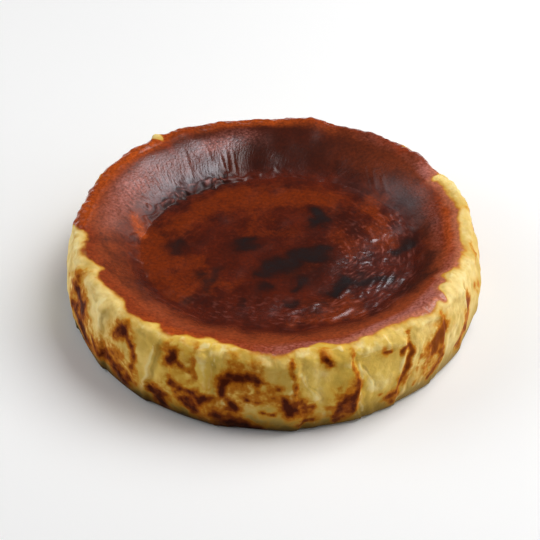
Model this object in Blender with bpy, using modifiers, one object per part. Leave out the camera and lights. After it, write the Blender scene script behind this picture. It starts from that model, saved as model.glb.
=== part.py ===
"""A whole, uncut basque cheesecake, about 205 mm across.

It is a low round cake, baked in crumpled parchment. Its sides are flat panels between creases,
its rim is lumpy, and its burnt top has sunk into a shallow basin that lies a little off centre.
The cake is turned from a half section, and each point of it is then moved by the sizes below.

Metres, +Z up. The origin is the middle of the footprint, on the flat base. -Y is the front.
"""

import math
import random

import bpy
import numpy as np

MM = 0.001

# The half section, before the parchment's creases
SIDE_RADIUS = 102.6 * MM
WIDEST_HEIGHT = 15.0 * MM
SHOULDER_RADIUS = 98.6 * MM
SHOULDER_HEIGHT = 35.0 * MM
RIM_RADIUS = 92.0 * MM
RIM_HEIGHT = 40.2 * MM
FLOOR_RADIUS = 63.0 * MM
FLOOR_HEIGHT = 28.0 * MM
BASE_RADIUS = 99.5 * MM
BASE_EDGE_RADIUS = 101.9 * MM
BASE_EDGE_HEIGHT = 5.0 * MM

# Rows of the half section, and columns round the cake
FLOOR_ROWS = 5
WALL_ROWS = 9
SHOULDER_ROWS = 5
SIDE_ROWS = 8
BASE_EDGE_ROWS = 3
COLUMNS_PER_PANEL = 8

# The basin: an oval, wider from left to right, and set towards the front
FLOOR_OVAL = 4.5 * MM
FLOOR_SHIFT_RIGHT = 2.0 * MM
FLOOR_SHIFT_FRONT = 5.0 * MM
FLOOR_DISH = 0.8 * MM
FLOOR_SWELL = 0.5 * MM
FLOOR_SWELL_LENGTH = 46.0 * MM
WALL_ROUNDING = 0.5

# The rolled fold where the skin of the wall meets the floor, highest at the back left
FOOT_FOLD_HEIGHT = 1.4 * MM
FOOT_FOLD_WIDTH = 3.4 * MM
FOOT_FOLD_ANGLE = 140.0
FOOT_FOLD_SPREAD = 62.0

# Lumps of the rim: angle and half width in degrees, rise
RIM_LUMPS = (
    (-90.0, 55.0, 1.3 * MM),
    (-12.0, 20.0, -1.0 * MM),
    (46.0, 15.0, 0.5 * MM),
    (68.0, 7.0, -1.3 * MM),
    (76.5, 5.0, 1.9 * MM),
    (89.0, 3.5, -1.2 * MM),
    (97.0, 24.0, -2.8 * MM),
    (122.0, 4.5, 1.6 * MM),
    (131.0, 14.0, 1.4 * MM),
    (172.0, 20.0, -2.2 * MM),
)
RIM_LUMP_FADE = 3
RIM_WAVES = (5, 8, 13, 17)
RIM_WAVE_HEIGHT = 0.25 * MM
RIM_WAVE_REACH = 0.4 * MM
RIM_WAVE_SEED = 5

# Creases that the parchment left down the side: angle at half height and lean over the whole
# height in degrees, step down to the next panel, and width in degrees of the flap beside it
FRONT_CREASES = (
    (-160.0, 2.0, 1.0 * MM, 0.0),
    (-142.0, 2.0, 1.4 * MM, 0.0),
    (-123.5, 4.0, 1.3 * MM, 0.0),
    (-107.0, -3.0, 1.3 * MM, 4.0),
    (-84.0, 0.0, 1.8 * MM, 5.5),
    (-68.5, -2.0, 2.0 * MM, 4.0),
    (-55.5, 5.0, 1.6 * MM, 0.0),
    (-41.0, 7.0, 1.5 * MM, 3.5),
    (-27.0, 3.0, 1.2 * MM, 0.0),
)
BACK_CREASE_COUNT = 11
CREASE_SEED = 21
CREASE_JITTER = 3.0
CREASE_LEAN = 5.0
CREASE_STEP = (0.9 * MM, 1.9 * MM)
CREASE_FLAPS = (0.0, 4.0, 5.0)
CREASE_SHARE = 0.07
PANEL_FLATNESS = 0.35
PANEL_SETBACK = 0.4
FLAP_THICKNESS = 0.8 * MM
FLAP_TOP = 0.86
FLAP_CORNER = 0.45
FLAP_SOFTNESS = 1.0

# The lip of skin that hangs over the top of the side, lower in a point at each crease
LIP_THICKNESS = 0.8 * MM
LIP_HEIGHT = 35.5 * MM
LIP_DIP = 3.5 * MM
LIP_DIP_WIDTH = 0.2
LIP_SOFTNESS = 1.3 * MM

CREAM_COLOUR = (0.640, 0.440, 0.130, 1.0)
CREAM_ROUGHNESS = 0.55
CRUST_COLOUR = (0.110, 0.022, 0.008, 1.0)
CRUST_ROUGHNESS = 0.35


def smooth_step(low, high, value):
    """0 below low, 1 above high, and an S-shaped rise between them."""
    share = np.clip((value - low) / (high - low), 0.0, 1.0)
    return share * share * (3.0 - 2.0 * share)


def hill(angle, centre, half_width):
    """A bell-shaped hill of height 1, over an angle in degrees."""
    turn = (angle - centre + 180.0) % 360.0 - 180.0
    return np.exp(-((turn / half_width) ** 2))


def wall_rise(share):
    """Height of the basin's wall, 0 at its foot and 1 at the rim: part straight, part a sine."""
    return (1.0 - WALL_ROUNDING) * share + WALL_ROUNDING * np.sin(share * math.pi / 2)


def floor_outline():
    """From the middle of the top out to the foot of the basin's wall."""
    return [(FLOOR_RADIUS * row / FLOOR_ROWS, FLOOR_HEIGHT) for row in range(FLOOR_ROWS)]


def wall_outline():
    """Up the wall of the basin to the rim."""
    points = []
    for row in range(WALL_ROWS):
        share = row / WALL_ROWS
        radius = FLOOR_RADIUS + (RIM_RADIUS - FLOOR_RADIUS) * share
        height = FLOOR_HEIGHT + (RIM_HEIGHT - FLOOR_HEIGHT) * float(wall_rise(share))
        points.append((radius, height))
    return points


def shoulder_outline():
    """A quarter of an ellipse from the rim to the top of the side."""
    points = []
    for row in range(SHOULDER_ROWS):
        turn = math.pi / 2 * (1.0 - row / SHOULDER_ROWS)
        radius = RIM_RADIUS + (SHOULDER_RADIUS - RIM_RADIUS) * math.cos(turn)
        height = SHOULDER_HEIGHT + (RIM_HEIGHT - SHOULDER_HEIGHT) * math.sin(turn)
        points.append((radius, height))
    return points


def side_outline():
    """Down the bulging side: two parabolas that meet where the cake is widest."""
    points = []
    for row in range(SIDE_ROWS):
        height = SHOULDER_HEIGHT + (BASE_EDGE_HEIGHT - SHOULDER_HEIGHT) * row / SIDE_ROWS
        if height > WIDEST_HEIGHT:
            share = (height - WIDEST_HEIGHT) / (SHOULDER_HEIGHT - WIDEST_HEIGHT)
            radius = SIDE_RADIUS - (SIDE_RADIUS - SHOULDER_RADIUS) * share**2
        else:
            share = (WIDEST_HEIGHT - height) / (WIDEST_HEIGHT - BASE_EDGE_HEIGHT)
            radius = SIDE_RADIUS - (SIDE_RADIUS - BASE_EDGE_RADIUS) * share**2
        points.append((radius, height))
    return points


def base_outline():
    """Round the bottom edge by a quarter of an ellipse, and across the flat base."""
    points = []
    for row in range(BASE_EDGE_ROWS + 1):
        turn = math.pi / 2 * row / BASE_EDGE_ROWS
        radius = BASE_RADIUS + (BASE_EDGE_RADIUS - BASE_RADIUS) * math.cos(turn)
        height = BASE_EDGE_HEIGHT * (1.0 - math.sin(turn))
        points.append((radius, height))
    points.append((0.0, 0.0))
    return points


def half_section():
    """Every point of the section, from the middle of the top down the outside to the base."""
    top = floor_outline() + wall_outline()
    return top + shoulder_outline() + side_outline() + base_outline()


def turned_mesh(section, columns):
    """The section turned once round the Z axis, as a closed mesh."""
    profile = bpy.data.meshes.new("half_section")
    edges = [(index, index + 1) for index in range(len(section) - 1)]
    profile.from_pydata([(radius, 0.0, height) for radius, height in section], edges, [])
    turned = bpy.data.objects.new("half_section", profile)
    bpy.context.scene.collection.objects.link(turned)
    screw = turned.modifiers.new("turn", "SCREW")
    screw.axis = "Z"
    screw.steps = columns
    screw.render_steps = columns
    screw.use_merge_vertices = True
    screw.merge_threshold = 0.0001
    bpy.context.view_layer.update()
    evaluated = turned.evaluated_get(bpy.context.evaluated_depsgraph_get())
    mesh = bpy.data.meshes.new_from_object(evaluated)
    bpy.data.objects.remove(turned)
    bpy.data.meshes.remove(profile)
    return mesh


def creases():
    """All creases by rising angle, as columns of angle, lean, step and flap.

    The front ones are named above. The others go on round the back at even gaps with some
    jitter, up to the first front crease one turn later.
    """
    draw = random.Random(CREASE_SEED)
    last = FRONT_CREASES[-1][0]
    gap = (FRONT_CREASES[0][0] + 360.0 - last) / (BACK_CREASE_COUNT + 1)
    rows = list(FRONT_CREASES)
    for number in range(1, BACK_CREASE_COUNT + 1):
        angle = last + gap * number + draw.uniform(-CREASE_JITTER, CREASE_JITTER)
        lean = draw.uniform(-CREASE_LEAN, CREASE_LEAN)
        step = draw.uniform(*CREASE_STEP)
        rows.append((angle, lean, step, draw.choice(CREASE_FLAPS)))
    return np.array(rows)


def rim_waves(angle, seed):
    """A sum of cosines round the rim, with phases drawn from the seed."""
    draw = random.Random(seed)
    total = np.zeros_like(angle)
    for count in RIM_WAVES:
        total += np.cos(np.radians(count * angle) + draw.uniform(0.0, 2.0 * math.pi))
    return total


def rim_lift(angle):
    """How far the rim rises above its height in the section."""
    lift = RIM_WAVE_HEIGHT * rim_waves(angle, RIM_WAVE_SEED)
    for centre, half_width, rise in RIM_LUMPS:
        lift += rise * hill(angle, centre, half_width)
    return lift


def rim_reach(angle):
    """How far the rim moves out from its radius in the section."""
    return RIM_WAVE_REACH * rim_waves(angle, RIM_WAVE_SEED + 1)


def floor_reach(angle):
    """How far the foot of the wall moves out: an oval, shifted to the right and the front."""
    turn = np.radians(angle)
    oval = FLOOR_OVAL * np.cos(2.0 * turn)
    return oval + FLOOR_SHIFT_RIGHT * np.cos(turn) - FLOOR_SHIFT_FRONT * np.sin(turn)


def floor_swell(radius, angle):
    """Low swellings of the basin's floor: a product of two sines."""
    across = radius * np.cos(np.radians(angle)) / FLOOR_SWELL_LENGTH
    along = radius * np.sin(np.radians(angle)) / FLOOR_SWELL_LENGTH
    return FLOOR_SWELL * np.sin(2.0 * math.pi * across + 1.0) * np.sin(2.0 * math.pi * along)


def shape_top(radius, angle):
    """The basin: a dished floor, and a wall from its oval foot up to the lumpy rim.

    A point keeps its share of the way from the middle to the foot, or from the foot to the rim.
    """
    foot = FLOOR_RADIUS + floor_reach(angle)
    rim = RIM_RADIUS + rim_reach(angle)
    inner = np.clip(radius / FLOOR_RADIUS, 0.0, 1.0)
    share = np.clip((radius - FLOOR_RADIUS) / (RIM_RADIUS - FLOOR_RADIUS), 0.0, 1.0)
    new_radius = inner * foot + share * (rim - foot)
    new_height = FLOOR_HEIGHT + (RIM_HEIGHT - FLOOR_HEIGHT) * wall_rise(share)
    new_height += rim_lift(angle) * share**RIM_LUMP_FADE - FLOOR_DISH * (1.0 - inner**2)
    new_height += floor_swell(new_radius, angle) * (1.0 - share)
    fold = np.exp(-(((new_radius - foot - FOOT_FOLD_WIDTH) / FOOT_FOLD_WIDTH) ** 2))
    new_height += FOOT_FOLD_HEIGHT * fold * hill(angle, FOOT_FOLD_ANGLE, FOOT_FOLD_SPREAD)
    return new_radius, new_height, angle


def panel_places(column, rise, lines):
    """Each point's panel, its share of the way across it, the panel's width and its angle.

    The columns of a panel are drawn towards the creases on both sides of it, so that a crease
    lies in the narrow gap between two columns, and they lean as the creases do.
    """
    here = (column // COLUMNS_PER_PANEL) % len(lines)
    ahead = (here + 1) % len(lines)
    across = (column % COLUMNS_PER_PANEL) / (COLUMNS_PER_PANEL - 1)
    across = CREASE_SHARE / 2 + (1.0 - CREASE_SHARE) * across
    left = lines[here, 0] + lines[here, 1] * (rise - 0.5)
    right = lines[ahead, 0] + lines[ahead, 1] * (rise - 0.5)
    width = (right - left) % 360.0
    return here, ahead, across, width, left + width * across


def panel_relief(column, rise, lines):
    """Radial relief of the panels between the creases.

    A panel is flatter than the round side, and its radius grows up to the next crease, where it
    steps down. Beside some creases a flap stands proud: its edge slants away from the crease,
    from FLAP_TOP down to its full width at FLAP_CORNER, and goes on straight down.
    """
    here, ahead, across, width, _ = panel_places(column, rise, lines)
    sag = SIDE_RADIUS * (1.0 - np.cos(np.radians(width / 2.0)))
    relief = lines[ahead, 2] * (across - PANEL_SETBACK)
    relief -= PANEL_FLATNESS * sag * 4.0 * across * (1.0 - across)
    opened = np.clip((FLAP_TOP - rise) / (FLAP_TOP - FLAP_CORNER), 0.0, 1.0)
    edge = lines[here, 3] * opened - across * width
    return relief + FLAP_THICKNESS * smooth_step(-FLAP_SOFTNESS, FLAP_SOFTNESS, edge) * opened


def lip_relief(column, rise, height, lines):
    """Radial relief of the lip: it ends at LIP_HEIGHT, and lower in a point at each crease."""
    _, _, across, _, _ = panel_places(column, rise, lines)
    near_crease = np.minimum(across, 1.0 - across) / LIP_DIP_WIDTH
    edge = LIP_HEIGHT - LIP_DIP * np.clip(1.0 - near_crease, 0.0, 1.0)
    return LIP_THICKNESS * smooth_step(edge - LIP_SOFTNESS, edge + LIP_SOFTNESS, height)


def shape_side(radius, height, angle, column):
    """The shoulder, the side and the base: lumps fade out downwards, creases at the rim."""
    lines = creases()
    rise = np.clip(height / RIM_HEIGHT, 0.0, 1.0)
    rim_share = smooth_step(SHOULDER_HEIGHT, RIM_HEIGHT, height)
    relief = panel_relief(column, rise, lines) + lip_relief(column, rise, height, lines)
    new_radius = radius + relief * (1.0 - rim_share) * radius / SIDE_RADIUS
    new_radius += rim_reach(angle) * rim_share
    crease_angle = panel_places(column, rise, lines)[4]
    turn = (crease_angle - angle + 180.0) % 360.0 - 180.0
    new_angle = angle + turn * (1.0 - rim_share)
    return new_radius, height + rim_lift(new_angle) * rise**2, new_angle


def shaped(points):
    """The turned points moved to the cake's real form, with the footprint centred."""
    columns = COLUMNS_PER_PANEL * len(creases())
    radius = np.hypot(points[:, 0], points[:, 1])
    angle = np.degrees(np.arctan2(points[:, 1], points[:, 0]))
    start = FRONT_CREASES[0][0]
    column = np.rint(((angle - start) % 360.0) / 360.0 * columns).astype(int) % columns
    height = points[:, 2]
    top = shape_top(radius, angle)
    side = shape_side(radius, height, angle, column)
    slack = 0.1 * MM
    on_top = (radius < RIM_RADIUS + slack) & (height > FLOOR_HEIGHT - slack)
    new_radius, new_height, new_angle = (np.where(on_top, *pair) for pair in zip(top, side))
    turn = np.radians(new_angle)
    moved = np.stack([new_radius * np.cos(turn), new_radius * np.sin(turn), new_height], axis=1)
    moved[:, :2] -= (moved[:, :2].max(axis=0) + moved[:, :2].min(axis=0)) / 2.0
    return moved


def plain_material(name, colour, roughness):
    """A Principled material of one colour."""
    material = bpy.data.materials.new(name)
    material.use_nodes = True
    shader = material.node_tree.nodes["Principled BSDF"]
    shader.inputs["Base Color"].default_value = colour
    shader.inputs["Roughness"].default_value = roughness
    shader.inputs["Metallic"].default_value = 0.0
    material.diffuse_color = colour
    return material


def paint(mesh):
    """Cream all over, and burnt crust on the faces of the turned top inside the rim."""
    mesh.materials.append(plain_material("baked_cream", CREAM_COLOUR, CREAM_ROUGHNESS))
    mesh.materials.append(plain_material("burnt_crust", CRUST_COLOUR, CRUST_ROUGHNESS))
    for face in mesh.polygons:
        inside = math.hypot(face.center.x, face.center.y) < RIM_RADIUS
        face.material_index = int(inside and face.center.z > FLOOR_HEIGHT / 2)


def make_cheesecake(collection):
    """The one solid of the cake."""
    mesh = turned_mesh(half_section(), COLUMNS_PER_PANEL * len(creases()))
    paint(mesh)
    points = np.empty(len(mesh.vertices) * 3, np.float32)
    mesh.vertices.foreach_get("co", points)
    mesh.vertices.foreach_set("co", shaped(points.reshape(-1, 3).astype(float)).ravel())
    mesh.update()
    mesh.name = "cheesecake"
    mesh.shade_smooth()
    collection.objects.link(bpy.data.objects.new("cheesecake", mesh))


def main():
    for item in list(bpy.data.objects):
        bpy.data.objects.remove(item)
    collection = bpy.data.collections.new("basque_cheesecake")
    bpy.context.scene.collection.children.link(collection)
    make_cheesecake(collection)


main()
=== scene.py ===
"""How the basque cheesecake looks: its fine surface, its baked skin, a floor, lights and a camera.

The cake is one closed surface on a grid. Its rows run from the middle of the top, down the
outside, to the middle of the base, and its columns run round it, gathered at the creases that the
parchment left. Every field below is worked out on that whole grid at once.

Two lengths place things across the top. "beyond" runs outwards from the foot of the basin's wall,
and "slope" runs outwards and down from the rim, so that it is negative on the top.

The cake's sizes are in millimetres and degrees, and its mesh is in metres. The studio is in
metres. -Y is the front.
"""

import math
import random
from functools import partial

import bpy
import numpy as np
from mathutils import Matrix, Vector


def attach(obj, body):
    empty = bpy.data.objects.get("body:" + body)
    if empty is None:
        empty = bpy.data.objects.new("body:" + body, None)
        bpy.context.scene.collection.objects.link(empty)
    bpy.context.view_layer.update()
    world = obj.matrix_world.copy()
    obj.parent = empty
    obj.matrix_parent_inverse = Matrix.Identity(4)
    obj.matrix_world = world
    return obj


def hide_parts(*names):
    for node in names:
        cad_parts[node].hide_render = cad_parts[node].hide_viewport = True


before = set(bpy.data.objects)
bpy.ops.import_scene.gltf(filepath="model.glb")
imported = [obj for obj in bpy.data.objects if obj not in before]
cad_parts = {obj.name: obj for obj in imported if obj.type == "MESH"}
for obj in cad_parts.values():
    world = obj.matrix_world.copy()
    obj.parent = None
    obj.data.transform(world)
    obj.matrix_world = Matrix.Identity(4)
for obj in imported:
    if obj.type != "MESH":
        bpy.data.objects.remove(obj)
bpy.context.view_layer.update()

MM = 0.001

# The half section, as the solid has it
SIDE_RADIUS = 102.6
WIDEST_HEIGHT = 15.0
SHOULDER_RADIUS = 98.6
SHOULDER_HEIGHT = 35.0
RIM_RADIUS = 92.0
RIM_HEIGHT = 40.2
FLOOR_RADIUS = 63.0
FLOOR_HEIGHT = 28.0
BASE_RADIUS = 99.5
BASE_EDGE_RADIUS = 101.9
BASE_EDGE_HEIGHT = 5.0

# Rows of the grid, and its columns between two creases
MIDDLE_ROWS = 8
MIDDLE_SHARE = 0.45
FLOOR_ROWS = 36
FLOOR_ROW_EASE = 1.15
WALL_ROWS = 32
WALL_ROW_EASE = 1.25
SHOULDER_ROWS = 9
SIDE_ROWS = 35
BASE_EDGE_ROWS = 4
PANEL_COLUMNS = 40

# Wrinkles down the wall turn clockwise as they rise, by this angle in radians over a way as long
# as the radius of the middle of the wall
WRINKLE_SLANT = 0.41
WALL_MIDDLE = 75.0

# The basin: an oval, wider from left to right, and set towards the front, with a ragged foot
FLOOR_OVAL = 4.5
FLOOR_SHIFT_RIGHT = 2.0
FLOOR_SHIFT_FRONT = 5.0
FOOT_COUNTS = (7, 11, 18, 27)
FOOT_RAGGEDNESS = 0.25
FLOOR_DISH = 0.8
FLOOR_SWELL = 0.5
FLOOR_SWELL_LENGTH = 46.0
FLOOR_SWELL_PHASE = 1.0
WALL_ROUNDING = 0.5

# Lumps of the rim: angle, half width, rise
RIM_LUMPS = (
    (-90.0, 55.0, 1.3),
    (-12.0, 20.0, -1.0),
    (24.0, 8.0, -0.9),
    (46.0, 15.0, -0.4),
    (65.5, 9.0, -2.4),
    (76.5, 5.0, 1.9),
    (89.0, 3.5, -1.2),
    (97.0, 24.0, -2.8),
    (98.5, 4.5, -1.2),
    (122.0, 4.5, 1.6),
    (131.0, 14.0, 1.4),
    (172.0, 20.0, -2.2),
)
RIM_LUMP_FADE = 3
RIM_WAVES = (5, 8, 13, 17)
RIM_WAVE_HEIGHT = 0.25
RIM_WAVE_REACH = 0.4
RIM_WAVE_SEED = 5

# Creases down the side: angle at half height, lean over the whole height, step down to the next
# panel, and width in degrees of the flap beside it
FRONT_CREASES = (
    (-160.0, 2.0, 1.0, 0.0),
    (-142.0, 2.0, 1.4, 0.0),
    (-123.5, 4.0, 1.3, 0.0),
    (-107.0, -3.0, 1.3, 4.0),
    (-84.0, 0.0, 1.8, 5.5),
    (-68.5, -2.0, 2.0, 4.0),
    (-55.5, 5.0, 1.6, 0.0),
    (-41.0, 7.0, 1.5, 3.5),
    (-27.0, 3.0, 1.2, 0.0),
)
BACK_CREASE_COUNT = 11
CREASE_SEED = 21
CREASE_JITTER = 3.0
CREASE_LEAN = 5.0
CREASE_STEP = (0.9, 1.9)
CREASE_FLAPS = (0.0, 4.0, 5.0)
CREASE_WANDER = 0.7
CREASE_WANDER_WAVES = (5.0, 9.0)
CREASE_FADE = 0.45
CREASE_FADE_WAVES = (4.0, 8.0)
CREASE_PHASES = (0.0, 6.3)
CREASE_BLEND = (0.1, 0.9)
PANEL_FLATNESS = 0.35
PANEL_SETBACK = 0.4
CREST_BEFORE = 0.05
VALLEY_AFTER = 0.07
FLAP_THICKNESS = 0.6
FLAP_TOP = 0.86
FLAP_CORNER = 0.45
FLAP_SOFTNESS = 0.9

# The lip of skin that hangs over the top of each panel, and falls towards the crease on its right
LIP_THICKNESS = 0.8
LIP_HIGH = 39.0
LIP_LOW = 33.6
LIP_FALL = 2.0
LIP_SOFTNESS = 1.5
LIP_SHARE = (0.2, 1.2)
LIP_COUNTS = (43, 61, 83)
LIP_WANDER = 0.45

# The rolled fold where the skin of the wall meets the floor, and the hollows beside it: reach
# beyond the foot, half width and depth
FOLD_ANGLE = 138.0
FOLD_SPREAD = 30.0
FOLD_LEAST = 0.08
FOLD_REACH = 1.9
FOLD_HALF_WIDTH = 1.5
FOLD_HEIGHT = 1.3
FOLD_LEDGE = 0.7
FOLD_OVERHANG = 0.5
OVERHANG_REACH = 1.4
OVERHANG_HALF_WIDTH = 1.1
HOLLOW_REACH = 4.6
FOLD_HOLLOWS = ((HOLLOW_REACH, 1.2, 0.7), (-0.8, 1.0, 0.6))

# Crumples in a band along the fold, and the lines of painted shade there: reach, half width and
# strength
CRUMPLE_HEIGHT = 0.22
CRUMPLE_STRENGTH = 0.8
CRUMPLE_REACH = 2.6
CRUMPLE_HALF_WIDTH = 4.2
CREVICES = ((-0.4, 1.1, 1.0), (HOLLOW_REACH, 0.9, 0.8), (FOLD_REACH, 2.4, 0.35))

# Random fields that bend the relief or break it up: size, shortest and longest wave, seed
WAVE_COUNT = 22
WAVES = {
    "top warp": (1.4, 12.0, 26.0, 41),
    "swellings": (1.0, 10.0, 24.0, 42),
    "groove patches": (0.9, 7.0, 16.0, 44),
    "ridge patches": (0.7, 5.0, 12.0, 46),
    "fold lumps": (0.6, 5.0, 14.0, 47),
    "fold wander": (1.0, 4.5, 10.0, 48),
    "crumple warp": (1.4, 5.0, 12.0, 50),
    "buckles": (0.3, 12.0, 30.0, 51),
    "dents": (0.12, 4.0, 9.0, 52),
    "crumbs": (1.0, 2.6, 5.5, 53),
    "mark angle": (0.35, 6.0, 14.0, 61),
    "mark height": (0.7, 6.0, 14.0, 62),
    "spot x": (1.6, 7.0, 20.0, 63),
    "spot y": (1.6, 7.0, 20.0, 64),
    "side fold angle": (0.25, 5.0, 12.0, 66),
    "side fold height": (0.5, 5.0, 12.0, 67),
}

# The same round the cake: fewest and most waves in a turn, shortest and longest outwards, seed
RING_WAVES = {
    "grooves": (60, 110, 12.0, 30.0, 43),
    "ridges": (0, 26, 3.2, 6.0, 45),
    "crumples": (18, 60, 2.6, 5.0, 49),
}

# What each set of patches adds to its random field, and the most that it reaches
PATCHES = {
    "groove patches": (-0.1, 1.2),
    "ridge patches": (0.4, 1.4),
    "fold lumps": (0.7, 1.5),
}

# Height of the swellings on the basin's floor and on its wall, and where one turns to the other
SWELLING_FLOOR = 0.18
SWELLING_WALL = 0.08
SWELLING_CHANGE = (-4.0, 6.0)

# Fine grooves down the wall. They start and end at these ways beyond the foot, and stay clear of
# the rim. Where they are strong: angle, half width and strength
GROOVE_DEPTH = 0.2
GROOVE_NARROWING = 0.5
GROOVE_BEND = 1.2
GROOVES_FROM = (1.0, 6.0)
GROOVES_TO = (19.0, 25.0)
GROOVES_RIM = (-11.0, -5.0)
GROOVES_LEAST = 0.1
GROOVED_PARTS = ((136.0, 36.0, 0.9), (52.0, 26.0, 0.2))

# Ridges round the basin, and the oval areas that have them: strength, middle and half widths, X, Y
RIDGE_HEIGHT = 0.5
RIDGE_LEVEL = 0.3
RIDGE_BEND = 0.6
RIDGES_TO = (4.0, 12.0)
RIDGES_LEAST = 0.05
RIDGED_AREAS = (
    (1.0, (49.0, -20.0), (19.0, 30.0)),
    (0.5, (14.0, -52.0), (40.0, 9.0)),
    (0.15, (-34.0, -50.0), (26.0, 12.0)),
    (0.5, (61.0, 17.0), (9.0, 17.0)),
)

# Where the wall is burnt darkest, where a pink sheen is painted along the rim's edge, and where
# the rim is dark
BURNT_WALL_ANGLE = 88.0
BURNT_WALL_SPREAD = 58.0
BURNT_WALL_STRENGTH = 0.9
EDGE_SHEEN_ANGLE = -20.0
EDGE_SHEEN_FADE = (44.0, 60.0)
DARK_RIM_ANGLE = -156.0
DARK_RIM_SPREAD = 22.0

# Places on the top: angle, half width, strength, and the slopes, or for the dull ones the ways
# beyond the foot, between which each comes in. A band has its middle and half width instead
# The rim's bright orange: partly its own colour, and partly painted light on the crest
ORANGE_AND_LIGHT_RISING = (
    (66.0, 22.0, 0.3, -12.0, -3.0),
    (98.0, 21.0, 0.75, -7.0, 0.0),
    (144.0, 22.0, 1.0, -7.0, 0.0),
    (174.0, 9.0, 0.6, -7.0, 0.0),
    (-114.0, 19.0, 0.8, -12.0, -4.0),
    (-68.0, 24.0, 0.48, -12.0, -4.0),
)
ORANGE_AND_LIGHT_BANDS = ((0.0, 18.0, 0.8, -8.0, 4.5),)
ORANGE_AND_LIGHT_END = (6.0, 14.0)
# Grain, with a painted pink sheen on it, on the rim and in bands inside it
GRAIN_RISING = (
    (-54.0, 40.0, 1.2, -13.0, -4.0),
    (27.0, 8.0, 0.7, -8.0, -3.5),
    (52.0, 18.0, 0.25, -9.0, -2.0),
)
GRAIN_BANDS = (
    (8.0, 24.0, 0.45, -15.0, 7.0),
    (108.0, 15.0, 0.8, -11.0, 6.0),
    (158.0, 18.0, 0.85, -12.0, 8.0),
)
DULL_RISING = ((172.0, 20.0, 0.8, -3.0, 3.0),)
DULL_BANDS = ((30.0, 22.0, 0.9, 1.5, 5.0),)
DULL_FOLD_HALF_WIDTH = 4.0

# The wall's soft sheen, at the left and at the right. The left one turns as it goes outwards, and
# stops short towards the back
SHEEN_LEFT_ANGLE = 137.0
SHEEN_LEFT_TURN = 0.6
SHEEN_LEFT_SPREAD = 28.0
SHEEN_LEFT_STRENGTH = 1.15
SHEEN_LEFT_FROM = (-1.0, 5.0)
SHEEN_LEFT_TO = (24.0, 31.0)
SHEEN_LEFT_STOP = 124.0
SHEEN_LEFT_STOP_WIDTH = 7.0
SHEEN_RIGHT_ANGLE = 26.0
SHEEN_RIGHT_SPREAD = 15.0
SHEEN_RIGHT_STRENGTH = 0.68
SHEEN_RIGHT_FROM = (1.0, 9.0)
SHEEN_RIGHT_TO = (17.0, 25.0)

# Painted light, paler where the side lights fall: how pale the cream is by angles from the front,
# and its changes: angle, half width and change
FRONT_ANGLE = -90.0
PALE_RIGHT = (20.0, 55.0)
PALE_LEFT = (20.0, 60.0)
PALE_CHANGES = ((5.0, 28.0, -0.4), (-91.0, 10.0, 0.4))

# Soft ridges along creases, flaps and lips, for the relief, and for the material, which paints
# highlights on them and shade in the creases' valleys: place, half width
LINE_STRENGTH = 0.8
LINE_HALF_WIDTH = 1.8
FLAP_LINE_STRENGTH = 0.4
FLAP_LINE = (-0.4, 2.4)
LIP_LINE_SHARE = 0.6
LIP_LINE_MOST = 0.4
LIP_LINE = (-0.8, 2.2)
BELOW_LIP = (-0.5, 3.5)

# Relief of the side: heights of its lines and folds, crumbs, and torn crumbs under the crust
RIDGE_LINE_HEIGHT = 0.3
SIDE_FOLD_HEIGHT = 0.25
CRUMB_HEIGHT = 0.05
TORN_HEIGHT = 0.1
TORN_PLACE = 3.0
TORN_REACH = 5.0
DENT_STRETCH = 1.5
FOOT_FADE = (1.5, 8.0)

# Seed of the waves round the foot of the wall, the crust's edge and the lip
PLACES_SEED = 11

# Edge of the crust: slope length past the rim, and its bites and tongues: angle, half width, reach
EDGE_FRONT = -0.5
EDGE_BACK = 7.5
EDGE_BACK_START = 27.0
EDGE_BACK_END = 180.0
EDGE_TURN = 5.0
EDGE_COUNTS = (9, 14, 23, 37)
EDGE_WAVE = 0.5
EDGE_BITES = (
    (-176.0, 3.0, -3.0),
    (-165.0, 4.0, 2.5),
    (-158.0, 2.5, -4.8),
    (-146.0, 7.0, -2.5),
    (-140.5, 3.0, -2.0),
    (-125.8, 1.5, -3.0),
    (-115.8, 2.2, -3.6),
    (-109.0, 3.6, -6.0),
    (-102.0, 3.0, -2.5),
    (-87.0, 3.0, 1.8),
    (-76.0, 3.0, -5.0),
    (-70.5, 2.5, -3.0),
    (-41.0, 7.0, 3.2),
    (-35.0, 2.0, 5.0),
    (-31.0, 2.5, -3.0),
    (-25.0, 2.2, -6.0),
    (-18.0, 3.0, 1.0),
    (8.0, 8.0, -1.5),
    (19.0, 4.0, -2.5),
    (24.8, 1.4, -3.5),
    (130.3, 1.9, -9.0),
)
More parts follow.
